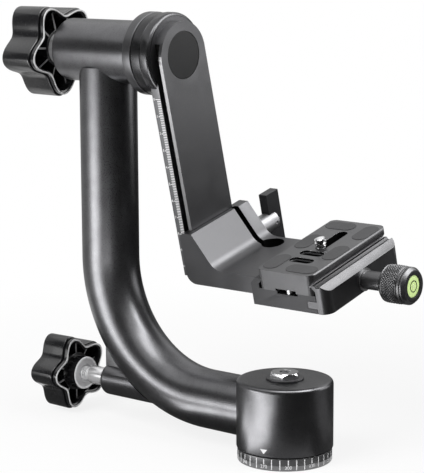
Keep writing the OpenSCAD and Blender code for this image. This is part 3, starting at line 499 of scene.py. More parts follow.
def hold(piece, body, slot, finish, *nodes):
    """Gives a piece its finish and its body, and hides the solids that it stands for."""
    piece.data.materials.clear()
    piece.data.materials.append(finish)
    return held(piece, body, slot, *nodes)


def held(piece, body, slot, *nodes):
    """The same for a piece that has its finishes already."""
    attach(piece, body)
    if nodes:
        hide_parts(*nodes)
    print(f"{piece.name}: {len(piece.data.polygons)} faces, rides on {body}")
    return piece


FACING = 0.9  # the least share of a face's way along an axis that it looks along


def also(piece, finish, picked, place=None):
    """Puts one more finish on the faces that are picked by their middle, in the place's
    millimetres, and the way that they face there."""
    back = (Matrix.Scale(MM, 4) @ (place or Matrix.Identity(4))).inverted()
    turned_back = (place or Matrix.Identity(4)).to_3x3().inverted()
    piece.data.materials.append(finish)
    for face in piece.data.polygons:
        if picked(back @ face.center, turned_back @ face.normal):
            face.material_index = len(piece.data.materials) - 1
    return piece


# %% Turned pieces
FILLET_STEPS = 5


def rounded(outline):
    """An outline whose corners (along, radius, fillet) are rounded by arcs."""
    points = []
    for i, corner in enumerate(outline):
        here = Vector(corner[:2])
        fillet = corner[2] if len(corner) > 2 else 0
        if not fillet:
            points.append(here)
            continue
        before, after = [Vector(other[:2]) - here
                         for other in (outline[i - 1], outline[(i + 1) % len(outline)])]
        half = before.angle(after) / 2
        cut = min(fillet / math.tan(half), before.length * 0.49, after.length * 0.49)
        start, end = here + before.normalized() * cut, here + after.normalized() * cut
        for step in range(FILLET_STEPS + 1):
            t = step / FILLET_STEPS
            points.append(start * (1 - t) ** 2 + here * 2 * t * (1 - t) + end * t**2)
    return points


def turned(name, outline, place=None, steps=96, loop=False):
    """Turns an outline of (along, radius) round local Z. Unless it loops, it ends on the axis."""
    corners, points, rows, faces = rounded(outline), [], [], []
    for along, radius in corners:
        if radius < 1e-6:
            rows.append([len(points)] * steps)
            points.append((0, 0, along))
        else:
            rows.append(list(range(len(points), len(points) + steps)))
            turn = [2 * math.pi * k / steps for k in range(steps)]
            points += [(radius * math.cos(a), radius * math.sin(a), along) for a in turn]
    for i in range(len(rows) if loop else len(rows) - 1):
        low, high = rows[i], rows[(i + 1) % len(rows)]
        for k in range(steps):
            n = (k + 1) % steps
            ring = list(dict.fromkeys((low[k], low[n], high[n], high[k])))
            if len(ring) > 2:
                faces.append(ring)
    piece = new_piece(name, points, faces, place)
    outward(piece)
    return smooth(piece)


def outward(piece):
    """Turns all faces outwards."""
    work = bmesh.new()
    work.from_mesh(piece.data)
    bmesh.ops.recalc_face_normals(work, faces=work.faces)
    work.to_mesh(piece.data)
    work.free()


# %% Milled pieces
MERGE_WITHIN, FLAT_WITHIN = 2e-6, 0.4


def milled(name, node, body, slot, finish, bevel=0.35, segments=2, angle=34):
    """A bevelled copy of a solid's mesh, merged first, in the solid's place."""
    work = bmesh.new()
    work.from_mesh(cad[node].data)
    bmesh.ops.remove_doubles(work, verts=work.verts, dist=MERGE_WITHIN)
    bmesh.ops.dissolve_limit(work, angle_limit=math.radians(FLAT_WITHIN),
                             verts=work.verts, edges=work.edges)
    mesh = bpy.data.meshes.new(name)
    work.to_mesh(mesh)
    work.free()
    piece = smooth(into_scene(name, mesh), angle)
    if bevel:
        cut = piece.modifiers.new("edges", "BEVEL")
        cut.width, cut.segments, cut.limit_method = bevel * MM, segments, "ANGLE"
        cut.angle_limit = math.radians(angle)
        cut.use_clamp_overlap, cut.harden_normals = True, True
        cut.miter_outer = "MITER_ARC"
    return hold(with_modifiers(piece), body, slot, finish, node)

# %% [markdown]
# ## Geometry Nodes
# What repeats or follows a rule is made by a small node tree. The next helpers build a tree with
# named inputs, run it on a start mesh, and turn the result into a plain mesh.

# %% Node tree helpers
FLOAT, INT, MATERIAL = "NodeSocketFloat", "NodeSocketInt", "NodeSocketMaterial"


class Tree:
    """A geometry node tree with named inputs."""

    def __init__(self, name, **inputs):
        self.group = bpy.data.node_groups.new(name, "GeometryNodeTree")
        self.group.interface.new_socket("Geometry", in_out="INPUT", socket_type="NodeSocketGeometry")
        self.sockets = {}
        for label, kind in {**inputs, "Finish": MATERIAL}.items():
            shown = label.replace("_", " ")
            socket = self.group.interface.new_socket(shown, in_out="INPUT", socket_type=kind)
            self.sockets[label] = socket.identifier
        self.group.interface.new_socket("Geometry", in_out="OUTPUT", socket_type="NodeSocketGeometry")
        self.start = self.group.nodes.new("NodeGroupInput")
        self.end = self.group.nodes.new("NodeGroupOutput")

    def given(self, label):
        return self.start.outputs[label.replace("_", " ")]

    def add(self, kind, inputs=None, output=0, **settings):
        return add_node(self.group, kind, inputs, output, **settings)

    def math(self, operation, *values):
        return self.add("ShaderNodeMath", dict(enumerate(values)), operation=operation)

    def product(self, first, *others):
        for other in others:
            first = self.math("MULTIPLY", first, other)
        return first

    def vector(self, x=0.0, y=0.0, z=0.0):
        return self.add("ShaderNodeCombineXYZ", {"X": x, "Y": y, "Z": z})

    def round_the_axis(self):
        """Each point's angle, height and distance round Z, and the way outwards."""
        position = self.add("GeometryNodeInputPosition")
        x, y, z = self.add("ShaderNodeSeparateXYZ", {"Vector": position}).node.outputs
        flat = self.vector(x, y)
        radius = self.add("ShaderNodeVectorMath", {0: flat}, "Value", operation="LENGTH")
        outwards = self.add("ShaderNodeVectorMath", {0: flat}, operation="NORMALIZE")
        return self.math("ARCTAN2", y, x), z, radius, outwards

    def pushed(self, outwards, push):
        """Ends the tree with each point moved outwards by the push."""
        offset = self.add("ShaderNodeVectorMath", {0: outwards, "Scale": push}, operation="SCALE")
        self.finish(self.add("GeometryNodeSetPosition", {
            "Geometry": self.given("Geometry"), "Offset": offset}), instances=False)

    def lengths(self, usual, counted):
        """The usual length, or another one at every so many points."""
        left = self.math("MODULO", self.add("GeometryNodeInputIndex"), self.given("Every"))
        hit = self.add("FunctionNodeCompare", {2: left, 3: 0}, data_type="INT", operation="EQUAL")
        return self.add("GeometryNodeSwitch", {
            "Switch": hit, "False": usual, "True": counted}, input_type="FLOAT")

    def bars(self, points, shift, size, turn=0.0):
        """Ends the tree with a bar on each point, shifted by shares of itself, then sized."""
        cube = self.add("GeometryNodeMeshCube", {"Size": (1, 1, 1)})
        bar = self.add("GeometryNodeTransform", {"Geometry": cube, "Translation": shift})
        self.finish(self.add("GeometryNodeInstanceOnPoints", {
            "Points": points, "Instance": bar, "Rotation": self.vector(z=turn), "Scale": size}))

    def finish(self, geometry, instances=True):
        """Ends the tree with Realize Instances and Set Material."""
        if instances:
            geometry = self.add("GeometryNodeRealizeInstances", {"Geometry": geometry})
        done = self.add("GeometryNodeSetMaterial", {
            "Geometry": geometry, "Material": self.given("Finish")})
        self.group.links.new(done, self.end.inputs[0])

    def run(self, piece, **values):
        """Runs the tree on a piece and keeps the result as its mesh."""
        modifier = piece.modifiers.new("rule", "NODES")
        modifier.node_group = self.group
        for label, value in values.items():
            modifier[self.sockets[label]] = value
        return with_modifiers(piece)


def starting_point(name):
    """An empty mesh for a tree that makes its own geometry."""
    return new_piece(name, [(0, 0, 0)], [])


# %% [markdown]
# ## The curved arm
# The arm is one tube, bent through a right angle on a fixed radius, as a pipe bender makes it. It
# could be modelled ring by ring, but a tree says it better: a path of three points, its corner
# filleted, and a circle swept along it.

# %% Bent tube
ARM_REACH, ARM_RADIUS, BEND_RADIUS = 129.7, 16.9, 75.5
ARM_START, ARM_TOP = -20.5, 212
BEND_STEPS, TUBE_SIDES = 48, 128

bent_tube = Tree("bent_tube", Tube_Radius=FLOAT, Bend_Radius=FLOAT, Bend_Steps=INT, Sides=INT)
given = bent_tube.given
path = bent_tube.add("GeometryNodeMeshToCurve", {"Mesh": given("Geometry")})
bend = bent_tube.add("GeometryNodeFilletCurve", {
    "Curve": path, "Radius": given("Bend_Radius"), "Count": given("Bend_Steps"),
    "Limit Radius": True}, mode="POLY")
circle = bent_tube.add("GeometryNodeCurvePrimitiveCircle", {
    "Resolution": given("Sides"), "Radius": given("Tube_Radius")})
tube = bent_tube.add("GeometryNodeCurveToMesh", {
    "Curve": bend, "Profile Curve": circle, "Fill Caps": True})
bent_tube.finish(tube, instances=False)

arm = new_piece("curved_arm", [(ARM_START, 0, ARM_HEIGHT), (-ARM_REACH, 0, ARM_HEIGHT),
                               (-ARM_REACH, 0, ARM_TOP)], [])
arm.data.edges.add(2)
arm.data.edges[0].vertices, arm.data.edges[1].vertices = (0, 1), (1, 2)
bent_tube.run(arm, Tube_Radius=ARM_RADIUS * MM, Bend_Radius=BEND_RADIUS * MM,
              Bend_Steps=BEND_STEPS, Sides=TUBE_SIDES, Finish=tube_coat)
outward(arm)
smooth(arm)
held(arm, "pan", "arm_paint", "arm_tube")

# %% [markdown]
# ## The panning housing and the degree ring
# The housing is a turned cup with a soft upper rim. It stands a hair above the ring, which is
# printed with a degree scale.

# %% Housing
HOUSING_RADIUS, HOUSING_LOW, HOUSING_HIGH = 27, 7.6, 45.5
hold(turned("housing", [
    (HOUSING_LOW, 8.4), (HOUSING_LOW, HOUSING_RADIUS, 0.5), (HOUSING_HIGH, HOUSING_RADIUS, 2.6),
    (HOUSING_HIGH, 8.4, 0.4)], steps=160, loop=True),
     "pan", "arm_paint", tube_coat, "pan_housing")

# %% Degree ring
RING_RADIUS, RING_HEIGHT = 26.4, 7
hold(turned("degree_ring_turned", [
    (0, 24.9), (0, RING_RADIUS, 0.6), (RING_HEIGHT, RING_RADIUS, 0.25), (RING_HEIGHT, 24.9)],
    steps=160, loop=True),
     "base", "anodised", ring_anodised, "degree_ring")

# %% [markdown]
# ### The printed scale
# A line every ten degrees runs up the ring. Every third line is short and has its number below it.
# The tree lays points on a circle, stands a small bar on each one facing outwards, and shortens
# every third bar by its index.

# %% Scale lines
TICK_COUNT, NUMBERED_EVERY, TICK_WIDTH, SCALE_TURN = 36, 3, 0.55, 11.5
TICK_TOP, TICK_LONG, TICK_SHORT = 6.4, 5.6, 2.9
MARK_PROUD, MARK_DEEP = 0.03, 0.2

ring_lines = Tree("lines_round_a_ring", Count=INT, Every=INT, Radius=FLOAT, Width=FLOAT, Top=FLOAT,
                  Long=FLOAT, Short=FLOAT, Depth=FLOAT)
given = ring_lines.given
around = ring_lines.add("GeometryNodeMeshCircle", {
    "Vertices": given("Count"), "Radius": given("Radius")})
raised = ring_lines.add("GeometryNodeSetPosition", {
    "Geometry": around, "Offset": ring_lines.vector(z=given("Top"))})
index = ring_lines.add("GeometryNodeInputIndex")
turn = ring_lines.math("DIVIDE", ring_lines.product(index, 2 * math.pi), given("Count"))
length = ring_lines.lengths(given("Long"), given("Short"))
ring_lines.bars(raised, (0, 0, -0.5), ring_lines.vector(given("Depth"), given("Width"), length), turn)

lines = ring_lines.run(
    starting_point("ring_lines"), Count=TICK_COUNT, Every=NUMBERED_EVERY,
    Radius=(RING_RADIUS + MARK_PROUD - MARK_DEEP / 2) * MM, Width=TICK_WIDTH * MM,
    Top=TICK_TOP * MM, Long=TICK_LONG * MM, Short=TICK_SHORT * MM, Depth=MARK_DEEP * MM,
    Finish=mark_white)
lines.data.transform(Matrix.Rotation(math.radians(SCALE_TURN), 4, "Z"))
held(lines, "base", "anodised")

# %% [markdown]
# ### The numbers
# The numbers are type turned into mesh and wrapped round the ring. They are generic figures, 0 to
# 330, as any degree ring has.

# %% Numbers as meshes


def figures(name, text, height, thick=0.06):
    """The points and faces of a text of that height, centred on the origin, in millimetres."""
    curve = bpy.data.curves.new(name, "FONT")
    curve.body, curve.size, curve.extrude = text, height / 0.7, thick
    curve.align_x, curve.align_y, curve.resolution_u = "CENTER", "CENTER", 3
    thing = into_scene(name, curve)
    graph = bpy.context.evaluated_depsgraph_get()
    graph.update()
    mesh = bpy.data.meshes.new_from_object(thing.evaluated_get(graph))
    points = [v.co.copy() for v in mesh.vertices]
    faces = [tuple(p.vertices) for p in mesh.polygons]
    bpy.data.objects.remove(thing)
    bpy.data.curves.remove(curve)
    bpy.data.meshes.remove(mesh)
    return points, faces


def joined(name, parts, place=None):
    """One piece from several lists of points and faces."""
    points, faces = [], []
    for some_points, some_faces in parts:
        faces += [tuple(i + len(points) for i in face) for face in some_faces]
        points += some_points
    return new_piece(name, points, faces, place)


def wrapped(part, turn, height, radius):
    """Figures wrapped round the pan axis at that turn, in degrees."""
    points, faces = part
    around = [math.radians(turn) + p.x / radius for p in points]
    return [Vector(((radius + p.z) * math.cos(a), (radius + p.z) * math.sin(a), height + p.y))
            for p, a in zip(points, around)], faces


# %% Ring numbers
NUMBER_HEIGHT, NUMBER_LEVEL = 1.9, 2.1
parts = []
for degrees in range(0, 360, 360 * NUMBERED_EVERY // TICK_COUNT):
    figure = figures("figure", str(degrees), NUMBER_HEIGHT)
    parts.append(wrapped(figure, degrees + SCALE_TURN, NUMBER_LEVEL, RING_RADIUS))
hold(joined("ring_numbers", parts), "base", "anodised", mark_white)

# %% Pan mark
MARK_TURN, MARK_HIGH, MARK_LOW, MARK_HALF, MARK_STEPS = -78, 12.0, 9.3, 2.2, 6
columns = [MARK_HALF * (2 * i / MARK_STEPS - 1) for i in range(MARK_STEPS + 1)]
points = [Vector((across, level, proud)) for proud in (MARK_PROUD, -MARK_DEEP) for across in columns
          for level in (MARK_HIGH, MARK_LOW + (MARK_HIGH - MARK_LOW) * abs(across) / MARK_HALF)]
faces, back = [], len(points) // 2
for a in range(0, back - 2, 2):
    faces += [(a, a + 1, a + 3, a + 2), (back + a, back + a + 2, back + a + 3, back + a + 1),
              (a, a + 2, back + a + 2, back + a), (a + 1, back + a + 1, back + a + 3, a + 3)]
pan_mark = new_piece("pan_mark", *wrapped((points, faces), MARK_TURN, 0, HOUSING_RADIUS))
outward(pan_mark)
hold(pan_mark, "pan", "arm_paint", mark_white)

# %% [markdown]
# ## The pan bolt
# A plated bolt with a hexagonal head and socket closes the housing. Its upper rim is chamfered on
# the lathe, so the six flats end in curves. The solid has this shape already, and only its edges
# need softening.

# %% Pan bolt and its washer
milled("pan_bolt_head", "pan_bolt", "base", "chrome", bright_plating, 0.35, 3, 20)
hold(turned("bolt_washer_turned", [
    (45.6, 4.1), (45.6, 10.5, 0.1), (46.4, 10.5, 0.25), (46.4, 4.1)], loop=True),
     "base", "anodised", dark_anodised, "bolt_washer")

# %% Base underside
milled("base_disc_milled", "base_disc", "base", "anodised", dark_anodised, 0.25)
milled("base_screws", "spindle_screws", "base", "steel", screw_steel, 0.15)

# %% [markdown]
# ## The tilt axle
# Seen from the swinging arm, the axle is a stack of turned rings: the fixed flange, the turning
# flange and the arm's boss. Each ring has its own chamfers, which draw the fine lines in the
# photograph.

# %% Axle tube and flanges
tube_axis = at(0, 0, TILT_HEIGHT) @ FACE_X
hold(turned("axle_tube_turned", [
    (-157.9, 10), (-157.9, 18.25, 0.8), (-97.4, 18.25), (-97.4, 10)], tube_axis, 128, loop=True),
     "pan", "arm_paint", tube_coat, "axle_tube")
hold(turned("fixed_flange", [
    (-97.5, 10), (-97.5, 23.7, 0.7), (-91.4, 23.7, 0.5), (-91.4, 10)], tube_axis, 128, loop=True),
     "pan", "anodised", grey_anodised, "axle_flange")
hold(turned("turning_flange", [
    (-157.3, 0), (-157.3, 8), (-91.1, 8), (-91.1, 23.4, 0.5), (-84.4, 23.4, 0.6), (-84.4, 0)],
    on_tilt_axis(), 128),
     "swing", "anodised", flange_black, "tilt_shaft")

# %% [markdown]
# ## The star knobs
# Each knob is a hollow moulding with five lobes, and its open side faces the head. It starts as a
# turned cup. A rule then pushes every point in or out by the cosine of five times its angle, and
# the push fades towards the axis. Modelling five lobes by hand would never come out so even.

# %% Lobe rule
star_rule = Tree("star_rule", Lobes=INT, Lobe_Depth=FLOAT, Fade_From=FLOAT, Fade_To=FLOAT)
given = star_rule.given
angle, _, radius, outwards = star_rule.round_the_axis()
wave = star_rule.math("COSINE", star_rule.product(angle, given("Lobes")))
weight = star_rule.add("ShaderNodeMapRange", {
    "Value": radius, "From Min": given("Fade_From"), "From Max": given("Fade_To")},
    interpolation_type="SMOOTHSTEP")
star_rule.pushed(outwards, star_rule.product(wave, weight, given("Lobe_Depth"), -1.0))

# %% Star knob
HUB_RADIUS, LOBE_SHARE, LOBES, KNOB_STEPS = 9.9, 0.163, 5, 240
RIM_DEEP, RIM_NOTCH, KNOB_FLARE, KNOB_WALL, LIP = 2.6, 0.9, 1.2, 2.2, 1.0


def star_knob(name, rim_radius, depth):
    """A star knob round local Z with its rim at 0, without its place."""
    body, inside = rim_radius + KNOB_FLARE, rim_radius - KNOB_WALL
    floor_level, hub_top = -depth * 2 / 3, -depth / 6
    outline = [
        (-depth, 0), (-depth, body - 3), (-depth, body - 0.2, 2.2),
        (-RIM_DEEP - RIM_NOTCH, body, 0.9), (-RIM_DEEP - RIM_NOTCH, rim_radius - RIM_NOTCH),
        (-RIM_DEEP, rim_radius - RIM_NOTCH),
        (-RIM_DEEP, rim_radius + 0.2, 0.3), (-0.1, rim_radius + 0.1, 0.4), (0, rim_radius - LIP, 0.3),
        (-0.9, rim_radius - LIP - 0.3), (-1.2, inside), (floor_level, inside, 1.6),
        (floor_level, HUB_RADIUS + 2.2, 1), (hub_top, HUB_RADIUS + 1.6, 0.4),
        (hub_top, HUB_RADIUS - 0.1), (floor_level - 0.5, HUB_RADIUS - 0.1), (floor_level - 0.5, 0)]
    cup = turned(name, outline, None, KNOB_STEPS)
    star_rule.run(cup, Lobes=LOBES, Lobe_Depth=rim_radius * LOBE_SHARE * MM,
                  Fade_From=(HUB_RADIUS + 2.4) * MM, Fade_To=(inside - 1.2) * MM, Finish=knob_plastic)
    # painted highlight: the rim lip's front faces are pale grey
    also(cup, rim_painted_highlight, lambda middle, way: middle.z > -0.35 and way.z > 0.35)
    return smooth(cup, 38)


def place_piece(piece, place):
    piece.data.transform(Matrix.Scale(MM, 4) @ place @ Matrix.Scale(1 / MM, 4))
    return piece


RIB_TURN, RIB_HALF, RIB_UNDER = 17, 0.55, 0.6
BOX_FACES = ((0, 1, 3, 2), (4, 6, 7, 5), (0, 4, 5, 1), (2, 3, 7, 6), (0, 2, 6, 4), (1, 5, 7, 3))


def knob_ribs(name, rim_radius, depth):
    """Ten thin webs in pairs, one pair in each lobe, from the hub to the wall."""
    low, top = -depth * 2 / 3 - 0.3, -depth / 6 - RIB_UNDER
    box = [Vector((x, y, z)) for x in (HUB_RADIUS + 1, rim_radius - KNOB_WALL + 0.4)
           for y in (-RIB_HALF, RIB_HALF) for z in (low, top)]
    parts = []
    for lobe in range(LOBES):
        for side in (-RIB_TURN, RIB_TURN):
            turn = Matrix.Rotation(math.radians((lobe + 0.5) * 360 / LOBES + side), 4, "Z")
            parts.append(([turn @ corner for corner in box], BOX_FACES))
    piece = joined(name, parts)
    outward(piece)
    piece.data.materials.append(knob_plastic)
    # painted highlight: the ribs' faces that look out of the knob are pale grey
    return also(piece, rib_painted_highlight, lambda middle, way: way.z > FACING)


TILT_KNOB, PAN_KNOB = on_tilt_axis(-164), on_arm_axis(-155.5)
for label, rim_radius, depth, place, body, node in (
        ("tilt_knob", 23.4, 26, TILT_KNOB, "tilt_lock_knob", "tilt_knob"),
        ("pan_knob", 18.9, 21, PAN_KNOB, "pan_lock_knob", "pan_knob")):
    star = star_knob(label + "_star", rim_radius, depth)
    ribs = knob_ribs(label + "_ribs", rim_radius, depth)
    held(place_piece(star, place), body, "knob_plastic", node)
    held(place_piece(ribs, place), body, "knob_plastic")

# %% [markdown]
# ## The pan lock
# A metal hub fills the middle of the lower knob, and a threaded rod runs from it into the stub on
# the arm. The hub has a raised rim with a finely turned face inside it.

# %% Knob hubs
HUB_FACE, RIM_INSIDE, RIM_LEVEL = 3.8, 8.7, 3.55
pan_hub = turned("pan_knob_hub_turned", [
    (-17, 4), (-17, HUB_RADIUS), (HUB_FACE, HUB_RADIUS, 0.4), (HUB_FACE, RIM_INSIDE, 0.25),
    (3.45, 8.5), (3.3, 5.6), (2.6, 5.2), (2.6, 4)], PAN_KNOB, loop=True)
hold(pan_hub, "pan_lock_knob", "hub_zinc", hub_metal, "pan_knob_hub")
also(pan_hub, knob_plastic, lambda middle, way: (
    math.hypot(middle.x, middle.y) > HUB_RADIUS - 0.3 and middle.z < HUB_FACE - 0.2), PAN_KNOB)
# painted highlight: the hub's raised rim is near white
also(pan_hub, painted_highlight_metal, lambda middle, way: (
    math.hypot(middle.x, middle.y) > RIM_INSIDE - 0.1 and middle.z > RIM_LEVEL), PAN_KNOB)
hold(turned("tilt_knob_hub_turned", [
    (-21, 5), (-21, HUB_RADIUS), (3.6, HUB_RADIUS, 0.4), (3.6, 5)], TILT_KNOB, loop=True),
     "tilt_lock_knob", "hub_zinc", hub_metal, "tilt_knob_hub")

# %% [markdown]
# ### Threads
# A screw thread is a ridge wound round a rod. The tree winds a spiral and sweeps a small triangle
# along it. Where the thread stops, the ridge simply ends, as it does behind a thread-cutting die.

# %% Thread rule
RIDGE_SHARE = 0.4
thread_rule = Tree("thread_rule", Turns=FLOAT, Pitch=FLOAT, Radius=FLOAT, Steps=INT)
given = thread_rule.given
coil = thread_rule.add("GeometryNodeCurveSpiral", {
    "Resolution": given("Steps"), "Rotations": given("Turns"), "Start Radius": given("Radius"),
    "End Radius": given("Radius"), "Height": thread_rule.product(given("Turns"), given("Pitch"))})
ridge = thread_rule.add("GeometryNodeCurvePrimitiveCircle", {
    "Resolution": 3, "Radius": thread_rule.product(given("Pitch"), RIDGE_SHARE)})
wound = thread_rule.add("GeometryNodeCurveToMesh", {
    "Curve": coil, "Profile Curve": ridge, "Fill Caps": True})
thread_rule.finish(wound, instances=False)
THREAD_STEPS = 28


def thread(name, radius, pitch, length, place, finish):
    """A thread whose crests stand at the radius, from 0 up local Z."""
    piece = thread_rule.run(
        starting_point(name), Turns=length / pitch, Pitch=pitch * MM,
        Radius=(radius - pitch * RIDGE_SHARE) * MM, Steps=THREAD_STEPS, Finish=finish)
    outward(place_piece(piece, place))
    return smooth(piece, 50)


# %% Lock rod
rod = turned("pan_lock_rod_turned", [
    (-10, 0), (-10, 3.3), (9.6, 3.3), (9.9, 4, 0.2), (51, 4, 0.5), (51, 0)], PAN_KNOB, 64)
hold(rod, "pan_lock_knob", "chrome", rod_plating, "pan_lock_stud")
# painted shade: the rod under its thread is near black
also(rod, painted_shade_root, lambda middle, way: middle.z < 9.7, PAN_KNOB)
# painted highlight: the thread's crests are near white
held(thread("pan_lock_thread", 4, 1.25, 10, PAN_KNOB, painted_highlight_metal), "pan_lock_knob", "chrome")

# %% Stub, collar and web
milled("lock_stub_milled", "lock_stub", "pan", "arm_paint", tube_coat, 0.25, 2, 30)
hold(turned("lock_collar", [
    (-145.9, 4.1), (-145.9, 5.55, 0.5), (-120, 5.55), (-120, 4.1)], on_arm_axis(), 64, loop=True),
     "pan", "chrome", rod_plating, "lock_bush")
milled("web_plate", "arm_gusset", "pan", "gusset_paint", gusset_coat, 0.4, 2)

# %% [markdown]
# ## The swinging arm
# The arm is a milled bar with two rails. A groove on each side guides the bracket, and a ruler is
# printed on the edge of the back rail.

# %% Arm bar
ARM_HALF, RAIL_BACK, RAIL_FRONT, GROOVE_FRONT, GROOVE_DEEP = 19, -83.5, -77.7, -74, 3.6
RAILS_FROM, BOSS_TO = -15, -24
bar = milled("swinging_arm", "swing_arm", "swing", "anodised", grey_anodised)
also(bar, rail_anodised, lambda middle, way: (
    middle.x < RAIL_FRONT - 0.1 and middle.z < RAILS_FROM and abs(way.y) > FACING), SWING)
# painted shade: the faces in the arm's side grooves are near black
also(bar, painted_shade_black, lambda middle, way: (
    RAIL_FRONT - 0.05 < middle.x < GROOVE_FRONT + 0.05
    and (abs(way.y) > FACING or abs(way.x) > FACING and abs(middle.y) > ARM_HALF - GROOVE_DEEP)),
     SWING)
also(bar, boss_black, lambda middle, way: (
    middle.x < RAIL_FRONT + 0.1 and middle.z > BOSS_TO
    and math.hypot(middle.y, middle.z) > ARM_HALF + 0.2), SWING)
also(bar, cut_edge, lambda middle, way: (
    middle.x > GROOVE_FRONT + 0.2 and abs(middle.y) > ARM_HALF - 0.6 and abs(way.x) < 0.8), SWING)
hold(turned("arm_cap_turned", [
    (-73.4, 0), (-73.4, 13.5), (-71.95, 13.5, 0.35), (-71.95, 0)], on_tilt_axis(), 96),
     "swing", "cap_plastic", cap_plastic, "arm_cap")
milled("stop_screw_head", "stop_screw", "swing", "steel", screw_steel, 0.2)

# %% [markdown]
# ### The ruler
# Its lines are a millimetre apart, longer at each centimetre, and they start at the groove. The
# tree puts bars on a straight row of points and stretches each tenth one.

# %% Ruler lines
RULER_TOP, RULER_STEP, RULER_COUNT, RULER_EVERY = 20.5, 1.024, 101, 10
ruler_lines = Tree("lines_along_a_ruler", Count=INT, Every=INT, Step=FLOAT, Width=FLOAT, Long=FLOAT,
                   Short=FLOAT, Depth=FLOAT)
given = ruler_lines.given
row = ruler_lines.add("GeometryNodeMeshLine", {
    "Count": given("Count"),
    "Offset": ruler_lines.vector(z=ruler_lines.product(given("Step"), -1.0))})
length = ruler_lines.lengths(given("Short"), given("Long"))
ruler_lines.bars(row, (-0.5, 0, 0), ruler_lines.vector(length, given("Depth"), given("Width")))

ruler = ruler_lines.run(
    starting_point("ruler_lines"), Count=RULER_COUNT, Every=RULER_EVERY, Step=RULER_STEP * MM,
    Width=0.42 * MM, Long=3.6 * MM, Short=2.6 * MM, Depth=MARK_DEEP * MM, Finish=mark_white)
place_piece(ruler, SWING @ at(RAIL_FRONT - 0.2, -ARM_HALF - MARK_PROUD + MARK_DEEP / 2, -RULER_TOP))
held(ruler, "swing", "anodised")

# %% Ruler numbers
parts = []
facing_out = Matrix.Rotation(math.radians(90), 4, "X")
for i in range(RULER_COUNT // RULER_EVERY + 1):
    points, faces = figures("figure", str(i), 1.6)
    drop = RULER_TOP + i * RULER_EVERY * RULER_STEP
    place = at(RAIL_BACK + 1, -ARM_HALF - MARK_PROUD, -drop) @ facing_out
    parts.append(([place @ p for p in points], faces))
hold(joined("ruler_numbers", parts, SWING), "swing", "anodised", mark_white)

# %% [markdown]
# ## The bracket and the clamp
# Both are milled from bar. Their solids are right already, so they get soft edges, painted shade
# inside the bracket's hole and slit and on the jaw's inner faces, and a painted highlight on the
# jaw's upper bevel.

# %% Bracket and clamp
RELIEF_X, RELIEF_Y, RELIEF_RADIUS, SLIT_LOW = -46.9, 20.7, 6.75, 16.9
bracket = milled("bracket_milled", "bracket", "carriage", "anodised", grey_anodised, 0.4)
# painted shade: the faces inside the relief hole and the slit are near black
also(bracket, painted_shade_black, lambda middle, way: (
    abs(way.z) < 0.6
    and math.hypot(middle.x - RELIEF_X, middle.y - RELIEF_Y) < RELIEF_RADIUS + 0.02), SWING)
also(bracket, painted_shade_black, lambda middle, way: (
    middle.x < RELIEF_X and SLIT_LOW - 0.05 < middle.y < RELIEF_Y + 0.05
    and abs(way.z) < FACING), SWING)
milled("clamp_milled", "clamp_body", "carriage", "anodised", clamp_anodised, 0.3)
milled("clamp_screw_heads", "clamp_screws", "carriage", "steel", screw_steel, 0.15)
jaw = milled("jaw_milled", "clamp_jaw", "jaw", "anodised_black", black_anodised, 0.3)
# painted highlight: the jaw's upper outer bevel is lighter than the rest of the jaw
also(jaw, jaw_bevel_painted_highlight, lambda middle, way: way.x > 0.3 and way.z > 0.3, SWING)
# painted shade: the jaw's inner faces are near black
also(jaw, painted_shade_black, lambda middle, way: way.x < -0.3 and abs(way.y) < 0.5, SWING)

# %% Lever
milled("lever_hub_turned", "lever_hub", "lever", "hub_zinc", web_coat, 0.4)
milled("lever_wings_cast", "lever_wings", "lever", "lever_paint", lever_coat, 0.9, 3)

# %% [markdown]
# ## The camera plate
# The plate is milled too. Its pads are rubber ovals pressed into pockets, and a plated screw for
# the camera stands in its slot.

# %% Plate, pads and camera screw
PLATE_X, PLATE_TOP, SCREW_Y = 5.2, 108.2, -0.5
SLOTS_HALF_WIDE, SLOTS_HALF_LONG, ENDS_FROM = 9.5, 27, 30
plate = milled("plate_milled", "camera_plate", "plate", "anodised", plate_anodised, 0.3)
also(plate, plate_side, lambda middle, way: abs(way.y) > FACING and abs(middle.y) > ENDS_FROM, SWING)


def in_slots(middle):
    return abs(middle.x - PLATE_X) < SLOTS_HALF_WIDE and abs(middle.y) < SLOTS_HALF_LONG


also(plate, slot_edge, lambda middle, way: 0.2 < way.z < FACING and in_slots(middle), SWING)
# painted shade: the side walls of the plate's slots are near black
also(plate, painted_shade_black, lambda middle, way: abs(way.z) < 0.2 and in_slots(middle), SWING)
milled("pads_moulded", "rubber_pads", "plate", "pad_rubber", pad_rubber, 0.2)
screw_place = SWING @ at(PLATE_X, SCREW_Y, -PLATE_TOP)
screw = turned("camera_screw_turned", [
    (-8.1, 0), (-8.1, 6, 0.4), (-4.95, 6, 0.3), (-4.95, 2.9), (0.2, 2.5), (4.9, 2.5), (5.1, 2.7, 0.1),
    (5.6, 2.0, 0.3), (5.6, 0)], screw_place, 64)
hold(screw, "camera_screw", "chrome", bright_plating, "camera_screw")
# painted shade: the shank under the camera screw's thread is near black
also(screw, painted_shade_root, lambda middle, way: 0.1 < middle.z < 5.0, screw_place)
held(thread("camera_screw_thread", 3.175, 1.27, 5.2, screw_place @ at(0, 0, 0.3), bright_plating),
     "camera_screw", "chrome")

# %% [markdown]
# ## The clamp's knob
# The knob is knurled: two sets of grooves cross at an angle and leave small diamonds. The rule
# reads each point's angle and height, and raises it where neither set of grooves runs.

# %% Knurl rule
knurl_rule = Tree("knurl_rule", Count=INT, Slope=FLOAT, Height=FLOAT, From=FLOAT, To=FLOAT,
                  Inside=FLOAT)
given = knurl_rule.given
angle, height, radius, outwards = knurl_rule.round_the_axis()


